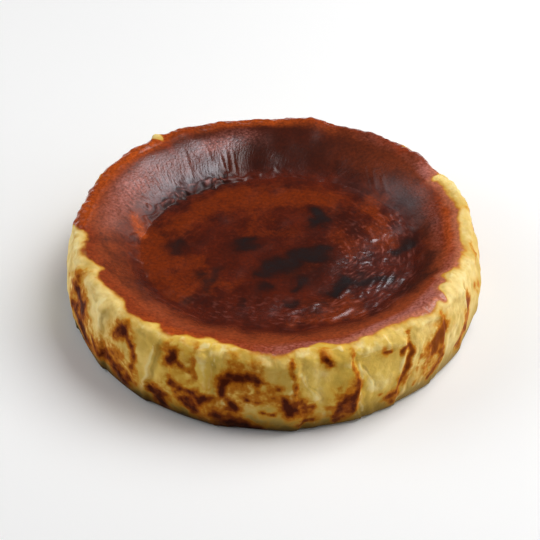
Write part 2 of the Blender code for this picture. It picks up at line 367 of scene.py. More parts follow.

# Sharp folds in the cream: half width, strength, and the line they follow, as angle and height.
# Each has its shade on its right, or below it where it runs across: a dent in the relief, and
# painted shade in the material, which also paints a highlight along the fold itself
FOLD_SHADE_RIGHT = 1.0
FOLD_SHADE_DOWN = 1.1
FOLD_SHADE_STRENGTH = 0.7
FOLD_SHADE_WIDTH = 1.3
SIDE_FOLDS = (
    (0.9, 0.9, ((-116, 39.3), (-113.2, 38.6), (-110.3, 38.4), (-108.3, 39.2))),
    (0.8, 0.8, ((-110, 39.8), (-108, 38.6), (-105.9, 36.4))),
    (0.8, 0.5, ((-106.2, 37), (-106, 28.4), (-106.3, 20.1))),
    (0.9, 0.8, ((-103.9, 19.4), (-105.7, 12.9), (-106.9, 5.5))),
    (0.8, 0.7, ((-104, 39.4), (-104.5, 35.6), (-104.9, 28.6))),
    (1.0, 1.0, ((-103.6, 39.3), (-101, 39.9), (-97.4, 39.4), (-93.8, 39), (-91.1, 39.2))),
    (1.0, 1.0, ((-91.1, 39.2), (-89, 38.2), (-87, 36.6), (-85, 36.8))),
    (0.7, 0.8, ((-83.2, 34), (-81.5, 28.2), (-79.1, 20.5))),
    (0.8, 0.5, ((-79.6, 20.1), (-79.5, 12.8), (-79.8, 4.3))),
    (0.7, 0.7, ((-92.5, 16.4), (-91, 18.5), (-89.8, 20.4))),
    (0.9, 0.8, ((-80.9, 39.9), (-78.8, 39.5), (-76.4, 37.8))),
    (0.9, 0.8, ((-76.6, 39.6), (-72.7, 39.2), (-71.5, 39.4))),
    (0.9, 1.0, ((-71.5, 39.4), (-70.6, 38), (-69.2, 35.8))),
    (0.9, 0.7, ((-68.1, 36.4), (-65.2, 36.8), (-61.8, 36.2), (-58.8, 36))),
    (0.7, 0.8, ((-67.3, 34), (-66.2, 28.3), (-64.5, 20.4))),
    (1.0, 0.7, ((-66.8, 31.9), (-67.5, 20.3), (-67, 6.9))),
    (0.8, 0.8, ((-58.8, 38.8), (-58.6, 37.4), (-58, 35.8))),
    (1.0, 0.9, ((-50.4, 30), (-52.4, 21), (-54.2, 12.9), (-56, 4.9))),
    (0.9, 0.7, ((-47.4, 31.8), (-49, 27.2), (-50.6, 22))),
    (0.9, 0.7, ((-45.6, 23.5), (-47.6, 16.3), (-49.3, 7.3))),
    (0.9, 0.7, ((-35.8, 24.4), (-38.2, 19.2), (-40.2, 12.1))),
    (0.9, 0.6, ((-30.7, 29.8), (-33, 24.3), (-35.6, 18.7))),
    (1.1, 0.9, ((-145.2, 37.5), (-143.1, 33.5), (-142.3, 26.3))),
    (1.1, 0.9, ((-122.4, 37.2), (-123.4, 27.6), (-125, 12.5))),
    (1.1, 0.8, ((-158.1, 37), (-151.9, 38.3), (-147.7, 38.2))),
    (1.0, 0.7, ((-138.1, 38.8), (-132, 39.2), (-128.1, 39))),
    (1.0, 0.7, ((-127.4, 38.9), (-124, 38.5), (-121.1, 38.7))),
    (0.9, 0.6, ((-142.4, 19), (-140.6, 23.6), (-138.6, 28))),
)

# Toasted and scorched marks on the side: distance at which they fall to half, strength, and the
# line they follow, as angle and height
MARK_FALL = 2.8
SIDE_MARKS = (
    (4.4, 1.0, ((-158.6, 30), (-156, 27), (-152.5, 24.6))),
    (4.2, 0.95, ((-158, 18), (-154, 14.5), (-149, 10))),
    (1.5, 0.4, ((-165, 28.5), (-166, 28))),
    (1.5, 0.4, ((-175, 36), (-177, 35))),
    (2.0, 0.55, ((-137.6, 31), (-135.5, 33))),
    (2.2, 0.95, ((-135, 33.6), (-133, 34.5))),
    (1.7, 0.72, ((-133, 34.5), (-130, 31), (-128.7, 25), (-129.4, 17))),
    (2.0, 0.75, ((-144.5, 17), (-143.5, 13.5))),
    (1.9, 0.75, ((-141.5, 13), (-139, 12.5))),
    (1.4, 0.6, ((-140.5, 20.5), (-139.5, 19))),
    (2.8, 0.45, ((-137.5, 20), (-134, 22))),
    (2.4, 0.95, ((-135.8, 10.5), (-134.4, 7), (-132.6, 6.4))),
    (1.8, 0.5, ((-131.5, 12), (-129.5, 10.5))),
    (3.4, 1.0, ((-122.2, 12), (-121, 8.5), (-120.2, 4.5))),
    (2.9, 1.0, ((-118.2, 33.6), (-116.6, 34.6))),
    (1.3, 0.5, ((-114.8, 31.8), (-112, 30.8))),
    (1.4, 0.35, ((-111.2, 38), (-110.7, 28))),
    (1.8, 0.7, ((-117.3, 21.3), (-115, 19.8), (-111, 19.8))),
    (2.2, 0.95, ((-111, 19.8), (-108.8, 16.5), (-107.1, 18.9))),
    (2.6, 0.95, ((-113.2, 13), (-110.6, 10))),
    (2.3, 1.0, ((-103.3, 24.5), (-102.6, 28), (-100.8, 31.4))),
    (2.7, 1.05, ((-100.8, 31.4), (-97.9, 31.2), (-95.4, 32.6), (-94.2, 31.8))),
    (1.1, 0.5, ((-92.6, 30.8), (-91, 30.2))),
    (1.1, 0.55, ((-94, 25.7), (-93.5, 25.9))),
    (1.2, 0.65, ((-89.6, 26.4), (-89.1, 26.4))),
    (1.1, 0.55, ((-97, 20.7), (-96.7, 20.6))),
    (1.2, 0.6, ((-94.5, 19.6), (-94, 19.6))),
    (2.2, 0.95, ((-100.6, 17.3), (-100.4, 14.5))),
    (3.4, 0.85, ((-104.5, 9.5), (-99.5, 5), (-94.4, 1.5))),
    (1.1, 0.65, ((-92.8, 12.5), (-90.3, 13))),
    (2.1, 1.05, ((-86.9, 20.5), (-86.4, 17), (-85.8, 13.4))),
    (1.8, 0.55, ((-84.4, 20.5), (-82.6, 15), (-80.6, 15.7))),
    (1.6, 0.55, ((-83, 5.2), (-80.5, 9))),
    (1.5, 0.52, ((-85.5, 37), (-84.7, 34), (-84.2, 26))),
    (1.9, 0.8, ((-77, 38.6), (-76.2, 38), (-75.4, 36))),
    (1.1, 0.5, ((-69.2, 37), (-68.4, 31), (-68.6, 24.5))),
    (1.6, 0.85, ((-68.6, 24.5), (-69.6, 17.5), (-69.8, 9.5))),
    (2.9, 0.75, ((-70.6, 18.5), (-73.4, 12.5), (-74, 5.5))),
    (1.2, 0.8, ((-60.1, 34.2), (-58.5, 34.3))),
    (1.3, 0.9, ((-54.6, 32.8), (-52, 32))),
    (1.1, 0.85, ((-52, 32), (-52.1, 27.5), (-54.3, 19.5), (-57.2, 12.5), (-59, 9))),
    (1.5, 0.5, ((-60.4, 8.4), (-58.2, 5))),
    (0.9, 0.5, ((-62.6, 13.5), (-62.4, 13.5))),
    (1.0, 0.3, ((-48.6, 27), (-50.6, 17.5), (-51.5, 8.7))),
    (3.5, 1.0, ((-39.2, 29.8), (-41.6, 28), (-43.7, 24.5))),
    (2.1, 0.68, ((-41.5, 20), (-41, 15), (-43, 10.5))),
    (1.6, 0.55, ((-44, 9.5), (-45.5, 6))),
    (2.3, 0.72, ((-24.2, 29), (-24.8, 21))),
    (2.7, 0.7, ((-26.5, 20), (-29.2, 13), (-31, 9.5))),
    (2.2, 0.3, ((-11.5, 34), (-7.5, 36))),
    (1.6, 0.3, ((7.5, 36), (8.2, 37.5))),
    (2.4, 0.3, ((-17, 27), (-15.5, 22))),
    (0.9, 0.55, ((-52.1, 37), (-51.8, 37))),
    (4.0, 0.36, ((-105, 3), (-98, 2))),
    (3.5, 0.3, ((-98, 22), (-90, 22))),
    (4.0, 0.34, ((-73, 19), (-72, 8))),
    (5.0, 0.44, ((-142, 16), (-133, 11))),
    (4.0, 0.34, ((-115, 17), (-110, 12))),
    (3.5, 0.32, ((-85, 15), (-81, 8))),
    (3.5, 0.28, ((-54, 18), (-58, 10))),
    (3.5, 0.24, ((-46, 22), (-47, 12))),
)

# Round the back the marks follow a rule, and some lie in a toasted area: half width, strength
BACK_MARKS_FROM = -4.0
BACK_MARKS_TO = 178.0
BACK_MARK_COUNT = 26
BACK_MARK_SEED = 33
BACK_MARK_SHARES = (0.1, 0.9)
BACK_MARK_HEIGHTS = (4.0, 33.0)
BACK_MARK_TURN = 3.5
BACK_MARK_CLIMB = 9.0
BACK_MARK_LIMITS = (3.0, 36.0)
BACK_MARK_HALF_WIDTHS = (1.2, 2.6)
BACK_MARK_STRENGTHS = (0.5, 1.0)
BACK_TOASTED = (4.0, 0.4)

# Burnt spots of the top, in the same way, with a line of X and Y
CHAR_MARKS = (
    (3.9, 1.0, ((20, 21), (25, 19.5))),
    (3.6, 0.65, ((21, 13), (25, 12))),
    (4.5, 1.0, ((-16, -2), (-12, 0))),
    (4.8, 0.95, ((3, -17), (8, -14), (14, -10), (20, -9), (26, -10))),
    (3.4, 0.7, ((-7, -22), (0, -19))),
    (2.9, 0.65, ((-5, -34), (-1, -34))),
    (3.3, 0.8, ((12, -32.5), (16, -30))),
    (3.9, 1.1, ((30, -36), (34, -32), (37, -29))),
    (3.0, 0.6, ((-17, -46), (-13, -45))),
    (4.5, 0.6, ((-32, -28), (-32, -32), (-27, -22))),
    (2.6, 0.5, ((-40, -43), (-37, -43))),
    (4.9, 0.65, ((-48, -6), (-44, -1))),
    (3.4, 0.85, ((63, -6), (70, -1))),
    (4.1, 0.8, ((45, -30), (57, -27))),
    (5.5, 0.42, ((-81, -9), (-76, -24), (-68, -36), (-60, -44))),
    (5.8, 0.52, ((76, -18), (70, -34), (61, -42))),
    (8.0, 0.42, ((64, 42), (72, 24), (75, 8))),
    (9.0, 0.45, ((-14, 72), (24, 70))),
    (9.0, 0.38, ((4, -22), (26, -22))),
    (3.8, 0.35, ((37, 22), (44, 6))),
    (3.0, 0.7, ((9, -46), (12, -45.5))),
    (2.6, 0.45, ((20, -47.5), (26, -46))),
)

# Paler, orange areas of the top
AMBER_MARKS = (
    (7.6, 0.9, ((-14, 33), (9, 38), (30, 34))),
    (6.8, 0.85, ((-22, 38), (-32, 30), (-39, 22), (-46, 13))),
    (5.1, 0.5, ((-8, 20), (-11, 7), (9, 8))),
    (5.5, 1.1, ((51, 30), (55, 15), (56, 2))),
    (5.1, 0.9, ((-55, -6), (-59, 3))),
    (4.6, 0.95, ((-63, 6), (-64, -3), (-60, -13), (-55, -23), (-49, -32), (-41, -40))),
    (4.7, 1.0, ((-69, 16), (-66, 11), (-64, 4))),
    (6.0, 0.7, ((-54, -13), (-36, -16))),
    (6.0, 0.6, ((-22, -31), (-42, -28))),
    (5.1, 0.6, ((36, -50), (13, -58))),
    (5.0, 1.0, ((84, -10), (84, 10), (81, 20))),
    (4.6, 0.7, ((27, -56), (41, -51))),
    (4.2, 0.5, ((9, -22), (20, -18))),
    (6.0, 0.6, ((33, 6), (40, -8))),
    (4.2, 0.45, ((18, -46), (36, -44))),
)

# A bright orange patch at the left end of the fold, and the gap that it leaves in the sheen
ORANGE_PATCH = ((-68.5, 15), (-65, 5))
PATCH_ORANGE = 0.9
PATCH_HALF_WIDTH = 3.4
PATCH_GAP = 0.7
PATCH_GAP_HALF_WIDTH = 5.0

# Ridges and grooves of the top that stand alone: half width, height, and the line they follow, as
# X and Y
FURROWS = (
    (1.7, 0.2, ((-73, 21), (-71, 15), (-69, 8.5), (-68, 2.4), (-66, -2.3), (-65, -7), (-62, -13))),
    (1.1, 0.2, ((-54, -20), (-51, -29), (-46, -37), (-39, -44), (-31, -49), (-23, -54))),
    (0.9, 0.4, ((47, 14), (50, 2))),
    (0.8, 0.4, ((62, 24), (64, 17))),
    (0.8, 0.4, ((65, 20), (67, 12))),
    (0.8, 0.35, ((58, 27), (60, 22))),
    (0.8, 0.35, ((68, 12), (69, 5))),
    (0.9, 0.4, ((34, 2.5), (37.5, -3))),
    (0.9, 0.55, ((44.5, -37.5), (48, -29))),
    (0.9, 0.6, ((49, -36), (54, -25.5))),
    (0.9, 0.6, ((53.5, -33), (58, -22.5))),
    (0.8, 0.45, ((41, -40), (45, -32))),
    (1.4, 0.8, ((31.5, -40.5), (35.5, -35))),
    (1.3, 0.6, ((7, -51.5), (14, -49), (21.5, -45.5))),
    (1.4, 0.7, ((28, -55.5), (32, -53), (36.5, -49))),
    (0.8, 0.4, ((58.5, 0), (57, -7))),
    (0.8, 0.3, ((66, -2), (67, -10))),
    (0.9, 0.35, ((-69, -11), (-66, -15), (-63, -16))),
    (0.9, 0.25, ((9, 12), (10, 6))),
    (0.8, 0.3, ((40, 28), (41, 16))),
    (0.8, 0.3, ((43, -15), (48, -13))),
    (0.7, -0.35, ((-46, 64.5), (-44, 58.5), (-42, 53), (-41, 48))),
    (0.7, -0.3, ((-69.5, 35.5), (-65.5, 30))),
    (0.7, -0.3, ((-67.5, 38.5), (-63, 30))),
    (0.7, -0.3, ((-65, 39.5), (-61, 31.5))),
    (0.7, -0.3, ((-62.5, 43), (-60, 34.5))),
    (0.7, -0.3, ((-58.5, 43), (-56, 37))),
    (0.7, -0.25, ((-50, 38.5), (-47, 47.5))),
    (0.7, -0.25, ((-27, 64.5), (-24.5, 57))),
    (0.7, -0.3, ((-24, 67.5), (-22.5, 56))),
    (0.7, -0.25, ((-20.5, 67), (-19, 56.5))),
    (0.7, -0.25, ((-76.5, 31.5), (-72.5, 27.5))),
    (0.7, -0.3, ((-73.5, 24.5), (-70, 18.5))),
    (0.7, -0.25, ((-43, 64), (-38.5, 59.5))),
    (0.7, -0.2, ((-35, 69.5), (-31.5, 61))),
    (0.7, -0.25, ((52, 51.5), (53.5, 40))),
    (0.7, -0.25, ((57, 46), (58.5, 37.5))),
    (0.7, -0.25, ((48, 54), (50, 43.5))),
)

# A flake of cream that stands up behind the rim: angle, half width, slope length, reach and rise
EAR_ANGLE = 130.0
EAR_HALF_WIDTH = 1.7
EAR_PLACE = 4.5
EAR_REACH = 2.4
EAR_RISE = 2.2

# How far off the crust's edge is still told, and how the streaks of the crust are drawn out
EDGE_LIMIT = 30.0
DOWN_STREAK_STRETCH = 250.0
RING_STREAK_RADIUS = 20.0

# Noises of the material: size of the lumps, detail and roughness
NOISES = {
    "broad cream": (12.0, 3.0, 0.5),
    "mottle": (5.0, 3.0, 0.55),
    "fine cream": (1.8, 2.0, 0.5),
    "blots": (3.4, 3.0, 0.5),
    "broad crust": (16.0, 3.0, 0.5),
    "middle": (5.0, 4.0, 0.6),
    "speckle": (1.6, 2.0, 0.6),
    "fine crust": (1.1, 1.0, 0.5),
    "streaks": (1.6, 1.0, 0.5),
    "wrinkles": (1.3, 1.0, 0.5),
    "broad edge": (6.5, 1.0, 0.3),
    "edge": (3.0, 1.0, 0.5),
    "fine edge": (1.6, 1.0, 0.5),
}

# Roughness of the skin, how shiny it is, and the heights of its bumps in metres
CREAM_ROUGHNESS = 0.55
CREAM_SHINE = 0.05
CREAM_BUMP = 0.00025
CREAM_DEPTH = {
    "Subsurface Weight": 0.12,
    "Subsurface Radius": (1.0, 0.6, 0.3),
    "Subsurface Scale": 0.002,
}
CRUST_ROUGHNESS = 0.24
CRUST_DULL = {"Specular IOR Level": 0.3}
CRUST_GLOSSY = {"Specular IOR Level": 1.0, "Specular Tint": (0.9, 0.92, 1.0, 1.0)}
GRAIN_BUMP = 0.00009
WRINKLE_BUMP = 0.00016

# The studio's floor, its dim surround, and the softboxes: name, direction, size and radiance
STUDIO_HALF = 4.0
STUDIO_WHITE = (0.95, 0.95, 0.95, 1.0)
STUDIO_ROUGHNESS = 0.9
SURROUND_STRENGTH = 0.03
SOFTBOX_DISTANCE = 1.3
SOFTBOXES = (
    ("key", (0.53, 0.23, 0.81), 0.92, 5.8),
    ("fill", (-0.63, 0.32, 0.71), 0.8, 0.9),
    ("right", (0.88, -0.2, 0.42), 0.9, 2.1),
    ("left", (-0.9, 0.0, 0.42), 0.9, 2.7),
)

# The camera, fitted to the photograph
CAMERA_LOCATION = (-0.00096, -0.5282, 0.4595)
CAMERA_TILT = 49.59
CAMERA_LENS = 91.9


def tone(red, green, blue):
    """A colour given in 0 to 255 as on a screen, turned into the linear light of a shader."""
    linear = []
    for part in (red, green, blue):
        share = part / 255.0
        bright = ((share + 0.055) / 1.055) ** 2.4
        linear.append(share / 12.92 if share <= 0.04045 else bright)
    return (*linear, 1.0)


CREAM = tone(239, 200, 90)
# Paler cream, for painted light on the sides and for random pale patches
CREAM_LIGHT = tone(247, 219, 144)
# Pale cream, also the colour of painted highlights on ridges and folds
CREAM_PALE = tone(252, 236, 174)
CREAM_OLIVE = tone(196, 156, 60)
# Olive shade painted in the valleys, beside folds, low down and at the far right
CREAM_SHADE = tone(162, 128, 56)
# Shade painted at the base of the cream, most on the left
CREAM_UNDER = tone(88, 76, 40)
GOLD = tone(208, 148, 38)
TOAST = tone(186, 104, 12)
SCORCH = tone(134, 60, 6)
SCORCH_DARK = tone(76, 23, 1)
CRUST_RED = tone(105, 35, 15)
CRUST_DEEP = tone(68, 22, 12)
CRUST_AMBER = tone(130, 48, 12)
CRUST_WALL = tone(168, 76, 38)
CRUST_DARK = tone(42, 21, 17)
CRUST_BLACK = tone(32, 29, 30)
CRUST_EDGE = tone(154, 58, 22)
# Bright orange of the rim: partly its own, and partly painted light on the crest
CRUST_ORANGE_AND_LIGHT = tone(208, 90, 26)
# A painted sheen: the pink-grey reflection of the lights, also used for painted glints and highlights
CRUST_PAINTED_SHEEN = tone(198, 122, 110)
# A pink sheen painted along the edge of the rim at the front right
CRUST_EDGE_SHEEN = tone(216, 128, 92)


def smooth_step(low, high, value):
    """0 below low, 1 above high, and the cubic 3s^2 - 2s^3 of the share s between them."""
    share = np.clip((value - low) / (high - low), 0.0, 1.0)
    return share * share * (3.0 - 2.0 * share)


def bell(distance, half_width):
    """exp(-(distance / half width)^2)."""
    return np.exp(-((distance / half_width) ** 2))


def turn_from(angle, centre):
    """How far an angle lies past a centre, from -180 to 180 degrees."""
    return (angle - centre + 180.0) % 360.0 - 180.0


def near(angle, centre, half_width):
    """A bell round an angle."""
    return bell(turn_from(angle, centre), half_width)


def bells(angle, rows):
    """The sum of height * a bell round an angle, for rows of centre, half width and height."""
    return sum(height * near(angle, centre, half_width) for centre, half_width, height in rows)


def bands(along, rows):
    """The sum of height * a bell along a way, for rows of middle, half width and height."""
    return sum(height * bell(along - middle, half_width) for middle, half_width, height in rows)


def between(rise, fall, value):
    """0, then 1 past the two ends of the rise, then 0 again past the two ends of the fall."""
    return smooth_step(*rise, value) * (1.0 - smooth_step(*fall, value))


def ring_waves(angle, counts, seed):
    """The sum over the counts of cos(count * angle + phase), with phases drawn from the seed."""
    draw = random.Random(seed)
    total = np.zeros_like(angle)
    for count in counts:
        total += np.cos(np.radians(count * angle) + draw.uniform(0.0, 2.0 * math.pi))
    return total


def plane_waves(name, *places):
    """A named random field: size * the sum of cos(k . p + phase) over random directions of k.

    The sum is of about unit size. A field has as many dimensions as it is given coordinates.
    """
    size, shortest, longest, seed = WAVES[name]
    draw = random.Random(seed)
    total = 0.0
    for _ in range(WAVE_COUNT):
        way = [draw.gauss(0.0, 1.0) for _ in places]
        per_mm = 2.0 * math.pi / draw.uniform(shortest, longest) / math.hypot(*way)
        phase = draw.uniform(0.0, 2.0 * math.pi)
        along = sum(per_mm * part * place for part, place in zip(way, places))
        total = total + np.cos(along + phase)
    return size * (total * math.sqrt(2.0 / WAVE_COUNT))


def polar_waves(name, angle, along):
    """A named field on a ring: the sum of cos(n * angle + 2 pi * along / length + phase).

    n is a whole number, so the field closes round the cake.
    """
    fewest, most, shortest, longest, seed = RING_WAVES[name]
    draw = random.Random(seed)
    total = 0.0
    for _ in range(WAVE_COUNT):
        turns = draw.randint(fewest, most)
        per_mm = 2.0 * math.pi / draw.uniform(shortest, longest) * draw.choice((-1.0, 1.0))
        phase = draw.uniform(0.0, 2.0 * math.pi)
        total = total + np.cos(turns * np.radians(angle) + per_mm * along + phase)
    return total * math.sqrt(2.0 / WAVE_COUNT)


def patches(name, x, y):
    """Soft patches seen from above: base + a random field, kept between 0 and a most."""
    base, most = PATCHES[name]
    return np.clip(base + plane_waves(name, x, y), 0.0, most)


def ridges(field):
    """Narrow crests where a field passes zero: (1 - |field|)^2, and 0 past 1."""
    return np.clip(1.0 - np.abs(field), 0.0, 1.0) ** 2


def stroke(x, y, points):
    """Distance from each (x, y) to the line through the points."""
    nearest = np.full(np.broadcast(x, y).shape, np.inf)
    for (start_x, start_y), (end_x, end_y) in zip(points, points[1:]):
        way_x = end_x - start_x
        way_y = end_y - start_y
        share = ((x - start_x) * way_x + (y - start_y) * way_y) / (way_x**2 + way_y**2)
        share = np.clip(share, 0.0, 1.0)
        distance = np.hypot(x - start_x - share * way_x, y - start_y - share * way_y)
        nearest = np.minimum(nearest, distance)
    return nearest


def unrolled_height(grid):
    """Height on the side, and over the shoulder a height that grows evenly with slope length."""
    section = grid["section"]
    shoulder_row = MIDDLE_ROWS + FLOOR_ROWS + WALL_ROWS + SHOULDER_ROWS
    shoulder = slope_lengths(section)[shoulder_row]
    share = 1.0 - grid["slope"] / shoulder
    over = SHOULDER_HEIGHT + (RIM_HEIGHT - SHOULDER_HEIGHT) * share
    return np.where(grid["slope"] < shoulder, over, grid["z"])


def side_stroke(angle, height, points):
    """stroke() on the side, unrolled: points are angles and heights."""
    first = points[0][0]
    per_degree = math.radians(1.0) * SIDE_RADIUS
    unrolled = [((at - first) * per_degree, up) for at, up in points]
    return stroke(turn_from(angle, first) * per_degree, height, unrolled)


def marked(marks, distance_to):
    """Marks laid over each other: 1 - the product of (1 - strength * fade) over all marks.

    A mark fades as 1 / (1 + (distance / half width)^2.8), which leaves it a wide halo.
    """
    clear = 1.0
    for half_width, strength, line in marks:
        fade = 1.0 / (1.0 + (distance_to(line) / half_width) ** MARK_FALL)
        clear = clear * (1.0 - np.minimum(strength * fade, 1.0))
    return 1.0 - clear


def wall_rise(share):
    """Height of the basin's wall, 0 at its foot and 1 at the rim: part straight, part a sine."""
    return (1.0 - WALL_ROUNDING) * share + WALL_ROUNDING * np.sin(share * math.pi / 2)


def half_section():
    """Rows of the half section: share across the floor, share up the wall, radius and height.

    A last column is 1 on the shoulder, the side and the base, and 0 on the top.
    """
    middle = np.linspace(0.0, MIDDLE_SHARE, MIDDLE_ROWS, endpoint=False)
    inwards = np.linspace(1.0, 0.0, FLOOR_ROWS, endpoint=False) ** FLOOR_ROW_EASE
    floor = 1.0 - (1.0 - MIDDLE_SHARE) * inwards
    inner = np.concatenate([middle, floor])
    up_wall = np.linspace(0.0, 1.0, WALL_ROWS, endpoint=False) ** WALL_ROW_EASE
    turn = np.linspace(math.pi / 2, 0.0, SHOULDER_ROWS, endpoint=False)
    down = np.linspace(SHOULDER_HEIGHT, BASE_EDGE_HEIGHT, SIDE_ROWS, endpoint=False)
    upper = SIDE_RADIUS - (SIDE_RADIUS - SHOULDER_RADIUS) * (
        (down - WIDEST_HEIGHT) / (SHOULDER_HEIGHT - WIDEST_HEIGHT)
    ) ** 2
    lower = SIDE_RADIUS - (SIDE_RADIUS - BASE_EDGE_RADIUS) * (
        (WIDEST_HEIGHT - down) / (WIDEST_HEIGHT - BASE_EDGE_HEIGHT)
    ) ** 2
    under = np.linspace(0.0, math.pi / 2, BASE_EDGE_ROWS + 1)
    radius = np.concatenate([
        inner * FLOOR_RADIUS,
        FLOOR_RADIUS + (RIM_RADIUS - FLOOR_RADIUS) * up_wall,
        RIM_RADIUS + (SHOULDER_RADIUS - RIM_RADIUS) * np.cos(turn),
        np.where(down > WIDEST_HEIGHT, upper, lower),
        BASE_RADIUS + (BASE_EDGE_RADIUS - BASE_RADIUS) * np.cos(under),
        [0.0],
    ])
    height = np.concatenate([
        np.full(len(inner), FLOOR_HEIGHT),
        FLOOR_HEIGHT + (RIM_HEIGHT - FLOOR_HEIGHT) * wall_rise(up_wall),
        SHOULDER_HEIGHT + (RIM_HEIGHT - SHOULDER_HEIGHT) * np.sin(turn),
        down,
        BASE_EDGE_HEIGHT * (1.0 - np.sin(under)),
        [0.0],
    ])
    outside = len(radius) - len(inner) - len(up_wall)
    across = np.concatenate([inner, np.ones(len(up_wall) + outside)])
    share = np.concatenate([np.zeros(len(inner)), up_wall, np.ones(outside)])
    on_side = np.concatenate([np.zeros(len(inner) + len(up_wall)), np.ones(outside)])
    return np.stack([across, share, radius, height, on_side], axis=1)


def section_normals(section):
    """Radial and upward parts of each row's normal: its direction (dr, dz) turned to (-dz, dr)."""
    along_radius = np.gradient(section[:, 2])
    along_height = np.gradient(section[:, 3])
    length = np.hypot(along_radius, along_height)
    return -along_height / length, along_radius / length


def slope_lengths(section):
    """Length along the section past the rim, negative on the top."""
    steps = np.hypot(np.diff(section[:, 2]), np.diff(section[:, 3]))
    length = np.concatenate([[0.0], np.cumsum(steps)])
    rim_row = MIDDLE_ROWS + FLOOR_ROWS + WALL_ROWS
    return length - length[rim_row]


def creases():
    """All creases by rising angle, as columns of angle, lean, step and flap.

    The front ones are named above. The others go on round the back at even gaps with some
    jitter, up to the first front crease one turn later.
    """
    draw = random.Random(CREASE_SEED)
    last = FRONT_CREASES[-1][0]
    gap = (FRONT_CREASES[0][0] + 360.0 - last) / (BACK_CREASE_COUNT + 1)
    rows = list(FRONT_CREASES)
    for number in range(1, BACK_CREASE_COUNT + 1):
        angle = last + gap * number + draw.uniform(-CREASE_JITTER, CREASE_JITTER)
        lean = draw.uniform(-CREASE_LEAN, CREASE_LEAN)
        step = draw.uniform(*CREASE_STEP)
        rows.append((angle, lean, step, draw.choice(CREASE_FLAPS)))
    return np.array(rows)


def crease_moods(rise):
    """How creases wander and fade over the height, and how thick the lip of each panel is.

    Wander and fade are sin(turn * rise + phase), with a turn and a phase for each crease.
    """
    draw = random.Random(CREASE_SEED + 1)
    count = len(FRONT_CREASES) + BACK_CREASE_COUNT
    ranges = (CREASE_WANDER_WAVES, CREASE_FADE_WAVES)
    turns = np.array([[draw.uniform(*ends) for ends in ranges] for _ in range(count)])
    phases = np.array([[draw.uniform(*CREASE_PHASES) for _ in ranges] for _ in range(count)])
    wander = np.sin(turns[:, 0] * rise + phases[:, 0])
    fade = np.sin(turns[:, 1] * rise + phases[:, 1])
    lip_share = np.array([draw.uniform(*LIP_SHARE) for _ in range(count)])
    return wander, fade, lip_share


def rim_lift(angle):
    """How far the rim rises above its height in the section."""
    waves = RIM_WAVE_HEIGHT * ring_waves(angle, RIM_WAVES, RIM_WAVE_SEED)
    return waves + bells(angle, RIM_LUMPS)


def rim_reach(angle):
    """How far the rim moves out from its radius in the section."""
    return RIM_WAVE_REACH * ring_waves(angle, RIM_WAVES, RIM_WAVE_SEED + 1)


def foot_radius(angle):
    """The foot of the basin's wall: an oval, shifted to the right and the front, and ragged."""
    turn = np.radians(angle)
    oval = FLOOR_OVAL * np.cos(2.0 * turn)
    shift = FLOOR_SHIFT_RIGHT * np.cos(turn) - FLOOR_SHIFT_FRONT * np.sin(turn)
    ragged = FOOT_RAGGEDNESS * ring_waves(angle, FOOT_COUNTS, PLACES_SEED)
    return FLOOR_RADIUS + oval + shift + ragged


def floor_swell(radius, angle):
    """Low swellings of the basin's floor: a product of two sines."""
    across = radius * np.cos(np.radians(angle)) / FLOOR_SWELL_LENGTH
    along = radius * np.sin(np.radians(angle)) / FLOOR_SWELL_LENGTH
    swell = np.sin(2.0 * math.pi * across + FLOOR_SWELL_PHASE) * np.sin(2.0 * math.pi * along)
    return FLOOR_SWELL * swell


def crust_edge(angle):
    """Slope length past the rim at which the crust ends: short in front, long round the back."""
    round_back = turn_from(angle, (EDGE_BACK_START + EDGE_BACK_END) / 2.0)
    half = (EDGE_BACK_END - EDGE_BACK_START) / 2.0
    back = 1.0 - smooth_step(half - EDGE_TURN, half + EDGE_TURN, np.abs(round_back))
    edge = EDGE_FRONT + (EDGE_BACK - EDGE_FRONT) * back
    waves = EDGE_WAVE * (1.0 + back) * ring_waves(angle, EDGE_COUNTS, PLACES_SEED + 1)
    return edge + waves + bells(angle, EDGE_BITES)


def back_marks():
    """Scorched marks for the part of the side that the front list leaves bare, by a seeded rule.

    Each is a bent line of three points, which starts anywhere and wanders mostly up or down.
    Every second one lies in a toasted area.
    """
    draw = random.Random(BACK_MARK_SEED)
    lowest, highest = BACK_MARK_LIMITS
    marks = []
    for number in range(BACK_MARK_COUNT):
        share = (number + draw.uniform(*BACK_MARK_SHARES)) / BACK_MARK_COUNT
        angle = BACK_MARKS_FROM + (BACK_MARKS_TO - BACK_MARKS_FROM) * share
        height = draw.uniform(*BACK_MARK_HEIGHTS)
        line = [(angle, height)]
        for _ in range(2):
            angle += draw.uniform(-BACK_MARK_TURN, BACK_MARK_TURN)
            height += draw.uniform(-BACK_MARK_CLIMB, BACK_MARK_CLIMB)
            height = min(max(height, lowest), highest)
            line.append((angle, height))
        half_width = draw.uniform(*BACK_MARK_HALF_WIDTHS)
        marks.append((half_width, draw.uniform(*BACK_MARK_STRENGTHS), tuple(line)))
        if number % 2 == 0:
            marks.append((*BACK_TOASTED, tuple(line[1:])))
    return marks


def panel_profile(across):
    """How proud a panel stands: 0 in the valley after a crease, and 1 at the crest of the next.

    It rises evenly from the valley to the crest, and falls past the crest by a smooth step, half
    of it in this panel and half in the next.
    """
    fall = CREST_BEFORE + VALLEY_AFTER
    rising = (across - VALLEY_AFTER) / (1.0 - fall)
    before = (across - 1.0 + CREST_BEFORE) / fall
    after = (across + CREST_BEFORE) / fall
    profile = np.where(across < VALLEY_AFTER, 1.0 - smooth_step(0.0, 1.0, after), rising)
    return np.where(across > 1.0 - CREST_BEFORE, 1.0 - smooth_step(0.0, 1.0, before), profile)


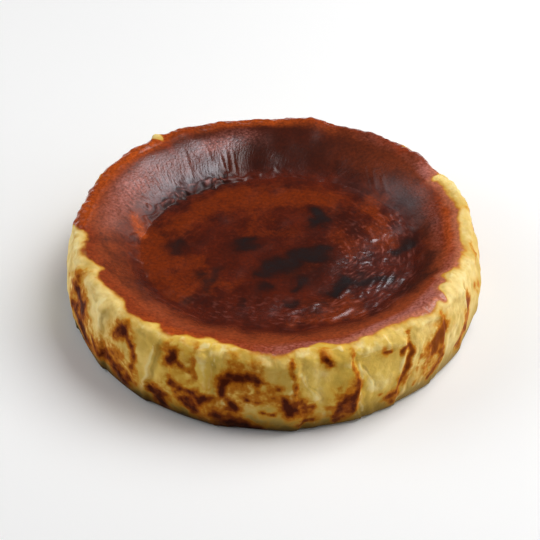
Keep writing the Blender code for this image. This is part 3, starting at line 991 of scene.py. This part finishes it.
def cake_grid():
    """Every point of the main form, before the fine relief, and the fields that place the rest.

    On the top a point keeps its share of the way from the middle to the foot of the wall, or
    from the foot to the rim. On the side it moves out with its panel, the flap beside a crease
    and the lip at the top.
    """
    section = half_section()
    lines = creases()
    across_floor, share, radius, height, on_side = (part[:, None] for part in section.T)
    rise = np.clip(height / RIM_HEIGHT, 0.0, 1.0)
    rim_share = np.where(on_side > 0, smooth_step(SHOULDER_HEIGHT, RIM_HEIGHT, height), 1.0)

    column = np.arange(PANEL_COLUMNS * len(lines))
    here = column // PANEL_COLUMNS
    ahead = (here + 1) % len(lines)
    across = (column % PANEL_COLUMNS) / PANEL_COLUMNS
    down_side = 1.0 - rim_share
    wander, fade, lip_share = crease_moods(rise)
    at = lines[:, 0] + (lines[:, 1] * (rise - 0.5) + CREASE_WANDER * wander) * down_side
    left = at[:, here]
    width = (at[:, ahead] - left) % 360.0
    angle = left + width * across

    foot = foot_radius(angle)
    reach = rim_reach(angle)
    lift = rim_lift(angle)
    top_radius = across_floor * foot + share * (RIM_RADIUS + reach - foot)
    top_height = FLOOR_HEIGHT + (RIM_HEIGHT - FLOOR_HEIGHT) * wall_rise(share)
    top_height = top_height + lift * share**RIM_LUMP_FADE - FLOOR_DISH * (1.0 - across_floor**2)
    top_height = top_height + floor_swell(top_radius, angle) * (1.0 - share)

    sag = SIDE_RADIUS * (1.0 - np.cos(np.radians(width / 2.0)))
    strength = lines[:, 2] * (1.0 - CREASE_FADE * (0.5 - 0.5 * fade))
    blend = smooth_step(*CREASE_BLEND, across)
    relief = strength[:, here] + (strength[:, ahead] - strength[:, here]) * blend
    relief = relief * (panel_profile(across) - PANEL_SETBACK)
    relief = relief - PANEL_FLATNESS * sag * 4.0 * across * (1.0 - across)
    opened = np.clip((FLAP_TOP - rise) / (FLAP_TOP - FLAP_CORNER), 0.0, 1.0)
    flap_edge = lines[here, 3] * opened - across * width
    flap = smooth_step(-FLAP_SOFTNESS, FLAP_SOFTNESS, flap_edge) * opened
    relief = relief + FLAP_THICKNESS * flap
    lip_edge = LIP_HIGH - (LIP_HIGH - LIP_LOW) * across**LIP_FALL
    lip_edge = lip_edge + LIP_WANDER * ring_waves(angle, LIP_COUNTS, PLACES_SEED + 3)
    lip = smooth_step(-LIP_SOFTNESS, LIP_SOFTNESS, height - lip_edge)
    relief = relief + LIP_THICKNESS * lip_share[here] * lip
    side_radius = radius + relief * down_side * radius / SIDE_RADIUS + reach * rim_share
    side_height = height + lift * rise**2

    out = np.where(on_side > 0, side_radius, top_radius)
    up = np.where(on_side > 0, side_height, top_height)
    x = out * np.cos(np.radians(angle))
    y = out * np.sin(np.radians(angle))
    x -= (x.max() + x.min()) / 2.0
    y -= (y.max() + y.min()) / 2.0
    return {
        "section": section,
        "angle": angle,
        "across": np.broadcast_to(across, angle.shape),
        "flap_edge": flap_edge,
        "has_flap": np.broadcast_to(lines[here, 3] > 0.0, angle.shape),
        "lip_edge": lip_edge - height,
        "lip_share": np.broadcast_to(lip_share[here], angle.shape),
        "crease_share": 0.5 + 0.5 * fade[:, here],
        "beyond": np.where(on_side > 0, RIM_RADIUS - FLOOR_RADIUS, top_radius - foot),
        "x": x,
        "y": y,
        "z": up,
        "on_side": np.broadcast_to(on_side, angle.shape),
        "on_top": np.broadcast_to(1.0 - on_side, angle.shape),
        "slope": np.broadcast_to(slope_lengths(section)[:, None], angle.shape),
    }


def on_ring(angle, along, rising, banded):
    """The sum over places of strength * a bell round the angle * a step, or a bell, of along."""
    total = 0.0
    for centre, half_width, strength, low, high in rising:
        total = total + strength * near(angle, centre, half_width) * smooth_step(low, high, along)
    for centre, half_width, strength, middle, reach in banded:
        total = total + strength * near(angle, centre, half_width) * bell(along - middle, reach)
    return total


def fold_amount(grid):
    """How strong the rolled fold at the foot of the wall is, strongest at the back left."""
    return near(grid["angle"], FOLD_ANGLE, FOLD_SPREAD)


def wrinkle_amounts(grid):
    """How wrinkled the skin is down the wall, and round the basin."""
    beyond = grid["beyond"]
    down = GROOVES_LEAST + bells(grid["angle"], GROOVED_PARTS)
    down = down * between(GROOVES_FROM, GROOVES_TO, beyond)
    down = down * (1.0 - smooth_step(*GROOVES_RIM, grid["slope"]))
    ring = RIDGES_LEAST
    for strength, (middle_x, middle_y), (half_x, half_y) in RIDGED_AREAS:
        area = bell(grid["x"] - middle_x, half_x) * bell(grid["y"] - middle_y, half_y)
        ring = ring + strength * area
    ring = np.clip(ring, 0.0, 1.0) * (1.0 - smooth_step(*RIDGES_TO, beyond))
    return down * grid["on_top"], ring * grid["on_top"]


def top_relief(grid, down, ring):
    """Relief of the top: swellings, grooves down the wall, and ridges round the basin."""
    x, y, angle, beyond = grid["x"], grid["y"], grid["angle"], grid["beyond"]
    warp = plane_waves("top warp", x, y)
    wall = smooth_step(*SWELLING_CHANGE, beyond)
    swell = SWELLING_FLOOR + (SWELLING_WALL - SWELLING_FLOOR) * wall
    swell = swell * plane_waves("swellings", x, y)
    slanted = angle + math.degrees(WRINKLE_SLANT) * (beyond / WALL_MIDDLE) + GROOVE_BEND * warp
    grooves = ridges(polar_waves("grooves", slanted, beyond) / GROOVE_NARROWING)
    grooves = -GROOVE_DEPTH * down * patches("groove patches", x, y) * grooves
    crests = ridges(polar_waves("ridges", angle + RIDGE_BEND * warp, beyond + warp))
    crests = RIDGE_HEIGHT * ring * patches("ridge patches", x, y) * (crests - RIDGE_LEVEL)
    furrows = sum(high * bell(stroke(x, y, line), half) for half, high, line in FURROWS)
    return grid["on_top"] * (swell + grooves + crests + furrows)


def fold_relief(grid):
    """The fold at the foot of the wall: a ledge, a roll over it and hollows beside it, upwards.

    The line that it follows wanders to and fro, and its height changes along it in lumps.
    """
    x, y = grid["x"], grid["y"]
    beyond = grid["beyond"] + plane_waves("fold wander", x, y)
    ledge = smooth_step(0.0, FOLD_LEDGE, beyond)
    roll = FOLD_HEIGHT * ledge * bell(beyond - FOLD_REACH, FOLD_HALF_WIDTH)
    roll = roll * patches("fold lumps", x, y)
    relief = roll - bands(beyond, FOLD_HOLLOWS) + CRUMPLE_HEIGHT * crumples(grid)
    return (FOLD_LEAST + (1.0 - FOLD_LEAST) * fold_amount(grid)) * relief * grid["on_top"]


def crumples(grid):
    """Small crumples in a band along the fold, above and below 0, longer along it than across."""
    beyond = grid["beyond"]
    warp = plane_waves("crumple warp", grid["x"], grid["y"])
    along = polar_waves("crumples", grid["angle"], beyond + warp)
    band = bell(beyond - CRUMPLE_REACH, CRUMPLE_HALF_WIDTH)
    return CRUMPLE_STRENGTH * along * band * fold_amount(grid)


def crevices(grid):
    """1 in the lines along the fold where the skin is drawn in, darkened there as painted shade."""
    beyond = grid["beyond"] + plane_waves("fold wander", grid["x"], grid["y"])
    return bands(beyond, CREVICES) * fold_amount(grid) * grid["on_top"]


def satin_wall(grid):
    """Where the wall has a soft sheen: all the way up at the back left, and less at the right."""
    angle, beyond = grid["angle"], grid["beyond"]
    left = near(angle, SHEEN_LEFT_ANGLE - SHEEN_LEFT_TURN * beyond, SHEEN_LEFT_SPREAD)
    left = left * between(SHEEN_LEFT_FROM, SHEEN_LEFT_TO, beyond)
    past_stop = turn_from(angle, SHEEN_LEFT_STOP - beyond)
    left = left * smooth_step(-SHEEN_LEFT_STOP_WIDTH, SHEEN_LEFT_STOP_WIDTH, past_stop)
    gap = bell(stroke(grid["x"], grid["y"], ORANGE_PATCH), PATCH_GAP_HALF_WIDTH)
    left = left * (1.0 - PATCH_GAP * gap)
    right = near(angle, SHEEN_RIGHT_ANGLE, SHEEN_RIGHT_SPREAD)
    right = right * between(SHEEN_RIGHT_FROM, SHEEN_RIGHT_TO, beyond)
    return np.clip(SHEEN_LEFT_STRENGTH * left + SHEEN_RIGHT_STRENGTH * right, 0.0, 1.0)


def painted_side_light(angle):
    """Painted light on the cream: hardly any in front, and more on both sides and round the back."""
    from_front = turn_from(angle, FRONT_ANGLE)
    pale = smooth_step(*PALE_RIGHT, from_front) + smooth_step(*PALE_LEFT, -from_front)
    return pale + bells(angle, PALE_CHANGES)


def dull_places(grid):
    """Where the skin is dull: along the fold, past its left end, and at the wall's right foot."""
    beyond = grid["beyond"]
    dull = fold_amount(grid) * bell(beyond - FOLD_REACH, DULL_FOLD_HALF_WIDTH)
    dull = dull + on_ring(grid["angle"], beyond, DULL_RISING, DULL_BANDS)
    return np.clip(dull, 0.0, 1.0) * grid["on_top"]


def rim_orange_and_light(grid):
    """How bright an orange the rim has: on the crest behind, in front and on the right.

    The orange patch at the end of the fold is bright orange too. On the crest the orange is partly
    painted light, where the lights fall on it.
    """
    orange_and_light = on_ring(grid["angle"], grid["slope"], ORANGE_AND_LIGHT_RISING, ORANGE_AND_LIGHT_BANDS)
    orange_and_light = orange_and_light + PATCH_ORANGE * bell(stroke(grid["x"], grid["y"], ORANGE_PATCH), PATCH_HALF_WIDTH)
    return np.clip(orange_and_light, 0.0, 1.0) * (1.0 - smooth_step(*ORANGE_AND_LIGHT_END, grid["slope"]))


def rim_grain_and_sheen(grid):
    """Grainy skin with a painted pink sheen: on the rim in front, and in bands inside it elsewhere.
    """
    return np.clip(on_ring(grid["angle"], grid["slope"], GRAIN_RISING, GRAIN_BANDS), 0.0, 1.0)


def side_relief(grid):
    """Relief of the side: buckles, dents, crumbs, and ridges at creases, flaps, lips and folds.

    It fades out towards the base.
    """
    x, y, z, slope = grid["x"], grid["y"], grid["z"], grid["slope"]
    uneven = plane_waves("buckles", x, y, z) + plane_waves("dents", x, y, z / DENT_STRETCH)
    lines = RIDGE_LINE_HEIGHT * ridge_lines(grid) + SIDE_FOLD_HEIGHT * side_folds(grid)
    torn = CRUMB_HEIGHT + TORN_HEIGHT * bell(slope - TORN_PLACE, TORN_REACH)
    crumbs = torn * plane_waves("crumbs", x, y, z)
    ear = EAR_RISE * near(grid["angle"], EAR_ANGLE, EAR_HALF_WIDTH)
    ear = ear * bell(slope - EAR_PLACE, EAR_REACH)
    relief = uneven + lines + crumbs + ear
    return grid["on_side"] * smooth_step(*FOOT_FADE, z) * relief


def side_folds(grid):
    """1 along each sharp fold of the side, and below 0 in its shade."""
    place = (grid["x"], grid["y"], grid["z"])
    angle = grid["angle"] + plane_waves("side fold angle", *place)
    height = unrolled_height(grid) + plane_waves("side fold height", *place)
    total = np.zeros_like(angle)
    for half_width, strength, line in SIDE_FOLDS:
        shade = tuple((at + FOLD_SHADE_RIGHT, up - FOLD_SHADE_DOWN) for at, up in line)
        shaded = bell(side_stroke(angle, height, shade), FOLD_SHADE_WIDTH * half_width)
        total += strength * bell(side_stroke(angle, height, line), half_width)
        total -= FOLD_SHADE_STRENGTH * strength * shaded
    return np.clip(total, -1.0, 1.0)


def ridge_lines(grid):
    """1 on the proud edges of creases, flaps and lips, and down to -1 in the creases' valleys."""
    per_degree = math.radians(1.0) * SIDE_RADIUS
    panel = 360.0 / (len(FRONT_CREASES) + BACK_CREASE_COUNT) * per_degree
    crest = LINE_STRENGTH * bell((1.0 - CREST_BEFORE - grid["across"]) * panel, LINE_HALF_WIDTH)
    valley = LINE_STRENGTH * bell((grid["across"] - VALLEY_AFTER) * panel, LINE_HALF_WIDTH)
    place, half_width = FLAP_LINE
    flap = FLAP_LINE_STRENGTH * bell(grid["flap_edge"] * per_degree - place, half_width)
    flap = flap * grid["has_flap"]
    place, half_width = LIP_LINE
    lip = bell(grid["lip_edge"] - place, half_width)
    lip = lip * np.clip(LIP_LINE_SHARE * grid["lip_share"], 0.0, LIP_LINE_MOST)
    below_lip = smooth_step(*BELOW_LIP, grid["lip_edge"])
    share = grid["crease_share"]
    proud = np.clip((crest * share + flap) * below_lip + lip, 0.0, 1.0)
    return proud - valley * below_lip * share


def shaped_points(grid):
    """The grid's points with all the fine relief, as an array of rows, columns and X, Y, Z."""
    normal_out, normal_up = section_normals(grid["section"])
    relief = top_relief(grid, *wrinkle_amounts(grid)) + side_relief(grid)
    turn = np.radians(grid["angle"])
    overhang = FOLD_OVERHANG * fold_amount(grid) * grid["on_top"]
    overhang = overhang * bell(grid["beyond"] - OVERHANG_REACH, OVERHANG_HALF_WIDTH)
    outwards = relief * normal_out[:, None] - overhang
    x = grid["x"] + outwards * np.cos(turn)
    y = grid["y"] + outwards * np.sin(turn)
    upwards = relief * normal_up[:, None]
    upwards[grid["section"][:, 3] <= 0.0] = 0.0
    z = grid["z"] + upwards + fold_relief(grid)
    return np.stack([x, y, z], axis=2)


def skin_fields(grid):
    """Fields that the material reads at each point, by name."""
    angle, beyond, slope = grid["angle"], grid["beyond"], grid["slope"]
    on_side, on_top = grid["on_side"], grid["on_top"]
    down, ring = wrinkle_amounts(grid)
    place = (grid["x"], grid["y"], grid["z"])
    side_angle = angle + plane_waves("mark angle", *place)
    side_height = unrolled_height(grid) + plane_waves("mark height", *place)
    top_x = grid["x"] + plane_waves("spot x", *place[:2])
    top_y = grid["y"] + plane_waves("spot y", *place[:2])
    to_side_line = partial(side_stroke, side_angle, side_height)
    to_top_line = partial(stroke, top_x, top_y)
    turn = np.radians(angle)
    twisted = turn + WRINKLE_SLANT * (beyond / WALL_MIDDLE)
    down_streaks = [np.cos(twisted), np.sin(twisted), beyond / DOWN_STREAK_STRETCH]
    ring_streaks = [RING_STREAK_RADIUS * np.cos(turn), RING_STREAK_RADIUS * np.sin(turn), beyond]
    burnt_wall = BURNT_WALL_STRENGTH * near(angle, BURNT_WALL_ANGLE, BURNT_WALL_SPREAD)
    from_edge_sheen = np.abs(turn_from(angle, EDGE_SHEEN_ANGLE))
    return {
        "crust_edge": np.clip(crust_edge(angle) - slope, -EDGE_LIMIT, EDGE_LIMIT),
        "scorch": marked([*SIDE_MARKS, *back_marks()], to_side_line) * on_side,
        "char": marked(CHAR_MARKS, to_top_line) * on_top,
        "amber": marked(AMBER_MARKS, to_top_line) * on_top,
        "crease": ridge_lines(grid) * on_side,
        "fold": side_folds(grid) * on_side,
        "down_wrinkles": down,
        "ring_wrinkles": ring,
        "beyond": beyond,
        "rim_grain_and_sheen": rim_grain_and_sheen(grid),
        "crumple": crumples(grid) * on_top,
        "crevice_shade": crevices(grid),
        "satin": satin_wall(grid),
        "dull": dull_places(grid),
        "rim_orange_and_light": rim_orange_and_light(grid),
        "painted_edge_sheen": 1.0 - smooth_step(*EDGE_SHEEN_FADE, from_edge_sheen),
        "dark_rim": near(angle, DARK_RIM_ANGLE, DARK_RIM_SPREAD),
        "front_wall": 1.0 - burnt_wall,
        "painted_side_light": painted_side_light(angle),
        "down_grain": WALL_MIDDLE * np.stack(down_streaks, axis=2),
        "ring_grain": np.stack(ring_streaks, axis=2),
    }


def closed_mesh(name, points, fields):
    """A closed mesh of a grid whose first and last rows are one point each.

    Columns go round anticlockwise seen from above, and rows go outwards and down, so that every
    face points out.
    """
    rows, columns = points.shape[:2]
    order = np.arange((rows - 2) * columns).reshape(rows - 2, columns) + 1
    ahead = np.roll(order, -1, axis=1)
    last = order.max() + 1
    quads = np.stack([order[:-1], order[1:], ahead[1:], ahead[:-1]], axis=2).reshape(-1, 4)
    top = np.stack([np.zeros_like(order[0]), order[0], ahead[0]], axis=1)
    base = np.stack([np.full_like(order[-1], last), ahead[-1], order[-1]], axis=1)
    mesh = bpy.data.meshes.new(name)
    picked = one_pole_each(points)
    mesh.from_pydata((picked * MM).tolist(), [], top.tolist() + quads.tolist() + base.tolist())
    for field_name, field in fields.items():
        kind = "FLOAT_VECTOR" if field.ndim == 3 else "FLOAT"
        socket = "vector" if field.ndim == 3 else "value"
        attribute = mesh.attributes.new(field_name, kind, "POINT")
        attribute.data.foreach_set(socket, one_pole_each(field).astype(np.float32).ravel())
    mesh.shade_smooth()
    return mesh


def one_pole_each(values):
    """Values of a grid in the order of its vertices: one for each pole, and all rows between."""
    inside = values[1:-1].reshape(-1, *values.shape[2:])
    return np.concatenate([values[0, :1], inside, values[-1, :1]])


class Value:
    """What a node gives. Arithmetic on numbers adds Math nodes to its material."""

    def __init__(self, recipe, socket):
        self.recipe = recipe
        self.socket = socket

    def math(self, operation, *terms):
        return self.recipe.add("ShaderNodeMath", {"operation": operation}, dict(enumerate(terms)))

    def __add__(self, other):
        return self.math("ADD", self, other)

    def __radd__(self, other):
        return self.math("ADD", other, self)

    def __sub__(self, other):
        return self.math("SUBTRACT", self, other)

    def __rsub__(self, other):
        return self.math("SUBTRACT", other, self)

    def __mul__(self, other):
        return self.math("MULTIPLY", self, other)

    def __rmul__(self, other):
        return self.math("MULTIPLY", other, self)


class Recipe:
    """The nodes of one material."""

    def __init__(self, name):
        self.material = bpy.data.materials.new(name)
        self.material.use_nodes = True
        self.tree = self.material.node_tree
        self.tree.nodes.clear()

    def add(self, kind, settings, sockets, output=0):
        """A node of a kind: its settings are set first, then its sockets get numbers or links."""
        node = self.tree.nodes.new(kind)
        for name, value in settings.items():
            setattr(node, name, value)
        for name, value in sockets.items():
            if isinstance(value, Value):
                self.tree.links.new(value.socket, node.inputs[name])
            else:
                node.inputs[name].default_value = value
        return Value(self, node.outputs[output]) if node.outputs else node

    def field(self, name):
        """A number stored on the mesh."""
        return self.add("ShaderNodeAttribute", {"attribute_name": name}, {}, "Fac")

    def vector_field(self, name):
        """A vector stored on the mesh."""
        return self.add("ShaderNodeAttribute", {"attribute_name": name}, {}, "Vector")

    def part(self, place, axis):
        """One coordinate of a place."""
        return self.add("ShaderNodeSeparateXYZ", {}, {0: place}, axis)

    def noise(self, place, name):
        """A named noise from -1 to 1 about, with lumps of its size in the units of place."""
        size, detail, roughness = NOISES[name]
        sockets = {"Vector": place, "Scale": 1.0 / size, "Detail": detail, "Roughness": roughness}
        return self.add("ShaderNodeTexNoise", {}, sockets) * 2.0 - 1.0

    def step(self, low, high, value):
        """0 below low, 1 above high, smooth between."""
        sockets = {"Value": value, "From Min": low, "From Max": high}
        return self.add("ShaderNodeMapRange", {"interpolation_type": "SMOOTHSTEP"}, sockets)

    def blend(self, mask, first, second, way="MIX"):
        """The first colour where mask is 0, the second where it is 1."""
        settings = {"data_type": "RGBA", "blend_type": way}
        return self.add("ShaderNodeMix", settings, {0: mask, 6: first, 7: second}, 2)

    def layered(self, colour, layers):
        """A colour with layers over it, from the lowest up: each a mask and its own colour."""
        for mask, tint in layers:
            colour = self.blend(mask, colour, tint)
        return colour

    def principled(self, sockets):
        """A Principled shader."""
        return self.add("ShaderNodeBsdfPrincipled", {}, sockets)

    def finished(self, shader):
        """The material, with a shader as its surface."""
        self.add("ShaderNodeOutputMaterial", {}, {"Surface": shader})
        return self.material

    def bump(self, height, distance, under=None):
        """A normal from a height of -1 to 1, which stands for distance in metres."""
        sockets = {"Height": height, "Distance": distance}
        if under is not None:
            sockets["Normal"] = under
        return self.add("ShaderNodeBump", {}, sockets)


def cream_shader(recipe, place, edge):
    """The pale side: cream with olive valleys, pale ridges, gold mottling and scorched marks.

    Its pale ridges and folds are partly painted highlights, with painted olive shade in the valleys
    and beside the folds. Painted shade also makes it darker low down, most on the left, and at the
    far right, and painted light makes its sides paler than its front. It is toasted along the edge of
    the crust. At the front right the scorched marks are lighter.
    """
    field, noise, step = recipe.field, recipe.noise, recipe.step
    across, back, height = (recipe.part(place, axis) for axis in "XYZ")
    crease = field("crease")
    scorch = field("scorch")
    broad = noise(place, "broad cream")
    mottle = noise(place, "mottle")
    fine = noise(place, "fine cream")
    blots = noise(place, "blots")
    left = 1.0 - step(-30.0, 85.0, across)
    front_right = step(20.0, 85.0, across) * (1.0 - step(-25.0, 15.0, back))
    fold = field("fold") + 0.2 * mottle
    toasted = scorch + (0.55 * blots + 0.12 * fine) * step(0.04, 0.3, scorch)

    light = field("painted_side_light") + 0.45 * step(0.0, 0.8, broad)
    olive = 0.68 * (1.0 - step(-0.5, 0.3, broad + 0.5 * mottle))
    ridge = crease * (0.6 + 0.8 * mottle) + 0.6 * broad + 0.5 * mottle
    # Painted shade: darker low down, and darker still near the base on the left
    painted_low_shade = (1.0 - step(0.0, 23.0, height)) * (0.85 + 0.4 * broad)
    painted_left_low_shade = (1.0 - step(2.0, 14.0, height + 3.0 * mottle)) * 0.5 * left
    gilded = step(0.05, 0.75, mottle + 0.8 * fine - 0.3 * broad) * step(20.0, 36.0, height)
    fringe = step(-3.6, 0.2, edge + 2.0 * mottle) * 0.75
    seared = step(-2.0, 0.6, edge + 1.6 * mottle + 0.6 * fine) * 0.7
    layers = (
        # Painted light, paler at the sides, with random pale patches
        (light, CREAM_LIGHT),
        (olive, CREAM_OLIVE),
        # Painted highlights on proud edges, with random pale patches, then painted shade in the
        # valleys
        (step(0.05, 0.7, ridge) * 0.8, CREAM_PALE),
        (step(0.1, 0.9, 0.25 * mottle - crease) * 0.75, CREAM_SHADE),
        (painted_low_shade, CREAM_SHADE),
        (painted_left_low_shade, CREAM_UNDER),
        (0.4 * gilded, GOLD),
        # Painted shade at the far right, where the right light falls hardest
        (step(78.0, 102.0, across) * 0.28, CREAM_SHADE),
        # Painted highlights along the side's sharp folds, and painted shade beside them
        (step(0.15, 0.9, fold) * 0.6, CREAM_PALE),
        (step(0.15, 0.8, 0.0 - fold) * 0.55, CREAM_SHADE),
        (step(0.03, 0.28, toasted + 0.15 * mottle) * 0.8, GOLD),
        (fringe, GOLD),
        (seared, TOAST),
        (step(0.18, 0.44, toasted) * 0.9, TOAST),
        (step(0.42, 0.7, toasted) * (1.0 - 0.15 * front_right), SCORCH),
        (step(0.68, 0.98, toasted) * (1.0 - 0.75 * front_right), SCORCH_DARK),
    )
    # Painted shade at the base, most on the left
    under = (1.0 - step(0.0, 13.0, height + 1.5 * mottle)) * (0.45 + 0.55 * left)
    return recipe.principled({
        "Base Color": recipe.blend(under, recipe.layered(CREAM, layers), CREAM_UNDER, "MULTIPLY"),
        "Roughness": CREAM_ROUGHNESS + 0.08 * fine,
        "Normal": recipe.bump(0.6 * mottle + 0.5 * fine, CREAM_BUMP),
        "Specular IOR Level": CREAM_SHINE,
        **CREAM_DEPTH,
    })


def crust_shader(recipe, place, edge):
    """The burnt top: red-brown, paler to the edge, with orange areas, dark spots and a low gloss.

    The wrinkled right of the floor is the glossiest, and the wall has a sheen at the back left
    and at the right. The wall is darkest at the back. Painted light is laid into its colour too: a
    pink sheen on the grainy rim and wall and along the edge at the front right, glints on the ridges
    round the basin, highlights on the crumples, light on the orange crest, and shade in the fold's
    crevices and in the fine wrinkles.
    """
    field, noise, step = recipe.field, recipe.noise, recipe.step
    char = field("char")
    down = field("down_wrinkles")
    ring = field("ring_wrinkles")
    beyond = field("beyond")
    front = field("front_wall")
    grain_and_sheen = field("rim_grain_and_sheen")
    crumple = field("crumple")
    satin = field("satin")
    broad = noise(place, "broad crust")
    middle = noise(place, "middle")
    speckle = noise(place, "speckle")
    fine = noise(place, "fine crust")
    streaks = noise(recipe.vector_field("ring_grain"), "streaks")
    wrinkles = noise(recipe.vector_field("down_grain"), "wrinkles")

    pale_wall = step(1.0, 18.0, beyond + 6.0 * broad + 4.0 * middle) * front
    burnt_wall = step(0.0, 8.0, beyond) * (1.0 - front) * 0.6
    orange = step(0.15, 0.95, field("amber") + 0.4 * middle + 0.2 * streaks)
    rim = 1.0 - step(1.0, 12.0, edge + 4.0 * middle + 2.0 * broad)
    # Bright orange on the rim, partly painted light on the crest
    orange_and_light = field("rim_orange_and_light") * (1.0 + 0.6 * middle + 0.25 * speckle)
    # Painted sheen on the grainy rim and wall
    painted_sheen = grain_and_sheen * (1.0 + 0.7 * broad + 0.5 * middle + 0.8 * speckle + 0.5 * fine)
    # Painted sheen along the crust's edge at the front right
    painted_edge_sheen = (1.0 - step(0.5, 7.0, edge + 1.5 * middle)) * field("painted_edge_sheen") * 0.8
    # Painted glints on the ridges round the basin
    glints = step(0.05, 0.6, streaks + 0.3 * middle) * ring * 0.45
    burnt = char + 0.3 * middle + 0.15 * fine * char
    # Dark specks of the crust's own, and painted shade in the fine wrinkles down the wall and round
    # the basin
    clear_of_specks_and_shade = step(-0.7, 0.7, speckle + 0.9 * streaks * ring + 1.0 * wrinkles * down)
    # Painted shade in the fold's crevices, less on the crumples
    crevice_shade = field("crevice_shade") - 0.5 * crumple
    layers = (
        (step(-0.6, 0.6, broad + 0.5 * middle), CRUST_RED),
        (pale_wall, CRUST_WALL),
        (burnt_wall, CRUST_DARK),
        (orange, CRUST_AMBER),
        (rim * (0.95 - 0.5 * field("dark_rim")), CRUST_EDGE),
        (step(0.1, 1.1, orange_and_light) * 0.9, CRUST_ORANGE_AND_LIGHT),
        (step(0.05, 1.2, painted_sheen) * 0.8, CRUST_PAINTED_SHEEN),
        (painted_edge_sheen, CRUST_EDGE_SHEEN),
        (glints, CRUST_PAINTED_SHEEN),
        (step(0.1, 0.8, burnt) * 0.9, CRUST_DARK),
        (step(0.5, 1.15, burnt) * 0.95, CRUST_BLACK),
        # Dark specks, and painted shade in the wrinkles
        (0.55 * (1.0 - clear_of_specks_and_shade), CRUST_DARK),
        # Painted highlights on the crumples
        (step(0.2, 1.3, crumple + 0.3 * speckle) * 0.35, CRUST_PAINTED_SHEEN),
        (step(0.2, 1.0, crevice_shade + 0.3 * speckle) * 0.8, CRUST_DARK),
    )
    grainy = recipe.bump(fine * (0.15 + 0.5 * satin + 0.9 * grain_and_sheen), GRAIN_BUMP)
    creased = 0.7 * wrinkles * down + 0.6 * streaks * ring
    sockets = {
        "Base Color": recipe.layered(CRUST_DEEP, layers),
        "Roughness": CRUST_ROUGHNESS + 0.14 * satin + 0.3 * field("dull") + 0.06 * ring + 0.04 * fine,
        "Normal": recipe.bump(creased, WRINKLE_BUMP, grainy),
    }
    dull = recipe.principled({**sockets, **CRUST_DULL})
    glossy = recipe.principled({**sockets, **CRUST_GLOSSY})
    gloss = step(0.05, 0.9, satin + 0.8 * ring + 0.1 * middle)
    return recipe.add("ShaderNodeMixShader", {}, {0: gloss, 1: dull, 2: glossy})


def baked_skin():
    """The cake's one material: cream outside the ragged edge of the crust, burnt inside it."""
    recipe = Recipe("baked_skin")
    metres = recipe.add("ShaderNodeTexCoord", {}, {}, "Object")
    scaled = {0: metres, "Scale": 1.0 / MM}
    place = recipe.add("ShaderNodeVectorMath", {"operation": "SCALE"}, scaled)
    ragged = 2.6 * recipe.noise(place, "broad edge") + 0.7 * recipe.noise(place, "edge")
    ragged = ragged + 0.3 * recipe.noise(place, "fine edge")
    edge = recipe.field("crust_edge") + ragged
    cream = cream_shader(recipe, place, edge)
    crust = crust_shader(recipe, place, edge)
    inside = recipe.step(-1.1, 1.0, edge)
    return recipe.finished(recipe.add("ShaderNodeMixShader", {}, {0: inside, 1: cream, 2: crust}))


def add_object(name, data):
    """A new object in the scene."""
    added = bpy.data.objects.new(name, data)
    bpy.context.scene.collection.objects.link(added)
    return added


def make_cheesecake():
    """The whole cake, in place of its solid."""
    grid = cake_grid()
    mesh = closed_mesh("baked_cheesecake", shaped_points(grid), skin_fields(grid))
    mesh.materials.append(baked_skin())
    cake = add_object("baked_cheesecake", mesh)
    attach(cake, "root")
    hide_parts("cheesecake")


def plain_material(name, colour, roughness):
    """A Principled material of one colour."""
    recipe = Recipe(name)
    return recipe.finished(recipe.principled({"Base Color": colour, "Roughness": roughness}))


def make_floor():
    """A plain white floor under the cake."""
    signs = ((-1.0, -1.0), (1.0, -1.0), (1.0, 1.0), (-1.0, 1.0))
    corners = [(STUDIO_HALF * x, STUDIO_HALF * y, 0.0) for x, y in signs]
    mesh = bpy.data.meshes.new("studio_floor")
    mesh.from_pydata(corners, [], [(0, 1, 2, 3)])
    mesh.materials.append(plain_material("studio_white", STUDIO_WHITE, STUDIO_ROUGHNESS))
    add_object("studio_floor", mesh)


def make_softbox(name, direction, size, radiance):
    """A square area light that shines at the cake from a direction."""
    lamp = bpy.data.lights.new(name, "AREA")
    lamp.shape = "SQUARE"
    lamp.size = size
    lamp.energy = radiance * math.pi * size**2
    place = Vector(direction).normalized() * SOFTBOX_DISTANCE
    softbox = add_object(name, lamp)
    softbox.location = place
    softbox.rotation_euler = place.to_track_quat("Z", "Y").to_euler()


def make_world():
    """A dim, even surround."""
    world = bpy.data.worlds.new("studio")
    world.use_nodes = True
    background = world.node_tree.nodes["Background"]
    background.inputs["Color"].default_value = (1.0, 1.0, 1.0, 1.0)
    background.inputs["Strength"].default_value = SURROUND_STRENGTH
    bpy.context.scene.world = world


def make_camera():
    """The photograph's view: 40 degrees down, from 70 cm away."""
    lens = bpy.data.cameras.new("camera")
    lens.lens = CAMERA_LENS
    camera = add_object("camera", lens)
    camera.location = CAMERA_LOCATION
    camera.rotation_euler = (math.radians(CAMERA_TILT), 0.0, 0.0)
    bpy.context.scene.camera = camera


make_cheesecake()
make_floor()
for softbox in SOFTBOXES:
    make_softbox(*softbox)
make_world()
make_camera()
bpy.context.scene.view_settings.view_transform = "Standard"
